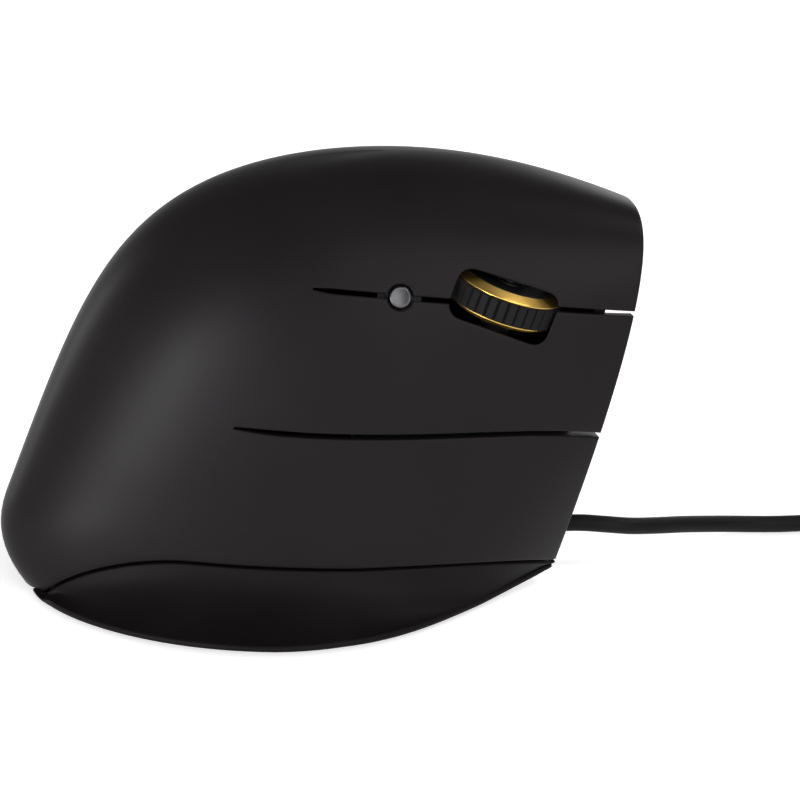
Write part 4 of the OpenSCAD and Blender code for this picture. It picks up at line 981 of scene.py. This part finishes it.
NODE_FINISHES = {
    "base_plate": BASE_BLACK, "glide_feet": GLIDE, "base_screws": STEEL, "wheel_axle": STEEL,
    "wheel_yoke": YOKE_BLACK, "wheel_encoder": YOKE_BLACK, "wheel_switch": COMPONENT,
    "rear_switch": COMPONENT, "chassis": INNER_BLACK, "button_board": BOARD,
    "top_switch": COMPONENT, "middle_switch": COMPONENT, "bottom_switch": COMPONENT,
    "top_plunger": PLUNGER, "middle_plunger": PLUNGER, "bottom_plunger": PLUNGER,
    "thumb_board": BOARD, "thumb_switches": COMPONENT, "thumb_plunger_rear": PLUNGER,
    "thumb_plunger_front": PLUNGER, "main_board": BOARD, "optical_sensor": COMPONENT,
    "sensor_lens": LENS, "board_screws": STEEL, "ribbon_cable": RIBBON, "cable_lead": CORD_JACKET,
    "usb_plug_shell": STEEL, "usb_plug_tongue": TONGUE,
}


def dress_nodes():
    """Give every CAD node that stays in view its finish."""
    for name, material in NODE_FINISHES.items():
        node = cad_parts[name]
        node.data.materials.clear()
        node.data.materials.append(material)


# Floor and light

def seen_directly(tree):
    """1 for rays from the camera, from gloss and through glass."""
    path = tree.nodes.new("ShaderNodeLightPath")
    total = path.outputs["Is Camera Ray"]
    for output in ("Is Glossy Ray", "Is Transmission Ray"):
        both = tree.nodes.new("ShaderNodeMath")
        both.operation = "MAXIMUM"
        tree.links.new(total, both.inputs[0])
        tree.links.new(path.outputs[output], both.inputs[1])
        total = both.outputs["Value"]
    return total


def lay_floor():
    bm = bmesh.new()
    bmesh.ops.create_grid(bm, x_segments=1, y_segments=1, size=3)
    mesh = bpy.data.meshes.new("floor")
    bm.to_mesh(mesh)
    bm.free()
    material = bpy.data.materials.new("floor_white")
    material.use_nodes = True
    shader = material.node_tree.nodes["Principled BSDF"]
    shader.inputs["Base Color"].default_value = (0.9, 0.9, 0.9, 1)
    shader.inputs["Roughness"].default_value = 0.9
    shader.inputs["Specular IOR Level"].default_value = 0.1
    shader.inputs["Emission Color"].default_value = (1, 1, 1, 1)
    lift = material.node_tree.nodes.new("ShaderNodeMath")
    lift.operation = "MULTIPLY"
    lift.inputs[1].default_value = 0.6
    material.node_tree.links.new(seen_directly(material.node_tree), lift.inputs[0])
    material.node_tree.links.new(lift.outputs["Value"], shader.inputs["Emission Strength"])
    mesh.materials.append(material)
    floor = bpy.data.objects.new("floor", mesh)
    bpy.context.scene.collection.objects.link(floor)


def light_world():
    """White walls all round, and a dim ceiling."""
    world = bpy.data.worlds.new("studio")
    bpy.context.scene.world = world
    world.use_nodes = True
    tree = world.node_tree
    place = tree.nodes.new("ShaderNodeTexCoord")
    height = tree.nodes.new("ShaderNodeSeparateXYZ")
    dimming = tree.nodes.new("ShaderNodeMapRange")
    dimming.interpolation_type = "SMOOTHSTEP"
    for socket, value in (("From Min", 0.02), ("From Max", 0.4), ("To Min", 1), ("To Max", 0.16)):
        dimming.inputs[socket].default_value = value
    around = tree.nodes["Background"]
    around.inputs["Color"].default_value = (1, 1, 1, 1)
    tree.links.new(place.outputs["Generated"], height.inputs["Vector"])
    tree.links.new(height.outputs["Z"], dimming.inputs["Value"])
    tree.links.new(dimming.outputs["Result"], around.inputs["Strength"])


LAMP_TARGET = Vector((0, 0, 0.04))


def hang_lamp(name, place, size, power):
    """A soft box of a width and a height, aimed at the middle of the mouse."""
    lamp = bpy.data.lights.new(name, "AREA")
    lamp.shape = "RECTANGLE"
    lamp.size, lamp.size_y = size
    lamp.energy = power
    holder = bpy.data.objects.new(name, lamp)
    holder.location = place
    holder.rotation_euler = (LAMP_TARGET - Vector(place)).to_track_quat("-Z", "Y").to_euler()
    bpy.context.scene.collection.objects.link(holder)


# The object

bpy.context.scene.view_settings.view_transform = "Standard"
place_camera()

cord, cord_line = make_cord(CORD_JACKET)
cord_tie = make_tie(STRAP)
plug_grip = make_plug(PLUG_BLACK)
make_strain_relief(CORD_JACKET)

make_palm(SOFT_TOUCH)
button_plate("top_plate", plate_columns, 64, lambda s, face: slit_line(s, 1, face),
             lambda s, face: plate_top(s),
             [[-0.882, -17.4214, 62.3487], [6.4347, 19.2164, 74.9348]], "top_button", SOFT_TOUCH,
             ["low"], THUMB)
button_plate("middle_plate", plate_columns, 36, lambda s, face: low_edge(s, 1),
             lambda s, face: slit_line(s, -1, face),
             [[-15.3041, -22.7953, 37.6591], [-0.882, -17.4214, 62.3487]], "middle_button",
             SOFT_TOUCH, ["low", "high"])
button_plate("bottom_plate", low_columns, 36, lambda s, face: seam_edge(s, 1),
             lambda s, face: low_edge(s, -1),
             [[-22.8633, -25.2476, 11.3051], [-15.3041, -22.7953, 37.6591]], "bottom_button",
             SOFT_TOUCH, ["high"])
make_thumb_shell(SOFT_TOUCH)
make_thumb_button("thumb_bar_rear", WINDOW_FROM + 0.01, THUMB_SPLIT, "rear_thumb_button",
                  "thumb_button_rear", BUTTON_BLACK)
make_thumb_button("thumb_bar_front", THUMB_SPLIT, WINDOW_TO - 0.01, "front_thumb_button",
                  "thumb_button_front", BUTTON_BLACK)
make_front_panel(PANEL_BLACK)
make_ledge(LEDGE_BLACK)
make_tyre(TYRE)
# The hub's inner side faces use the yoke's black as painted shade.
make_hub(GOLD, YOKE_BLACK)
make_round_button(SILVER)
make_sleeve(SLEEVE_BLACK_AND_SHADE)
dress_nodes()

lay_floor()
light_world()
hang_lamp("side_strip", (-0.62, -0.79, 0.16), (0.16, 0.36), 6)
hang_lamp("front_box", (0.45, -1.1, 0.75), (1, 1), 8)
hang_lamp("rim_strip", (-0.95, 0.42, 0.24), (0.2, 0.36), 2)
hang_lamp("wheel_box", (0.62, 0.08, 0.9), (0.4, 0.4), 3)
hang_lamp("back_fill", (0.6, 1.1, 0.3), (0.6, 0.5), 4)
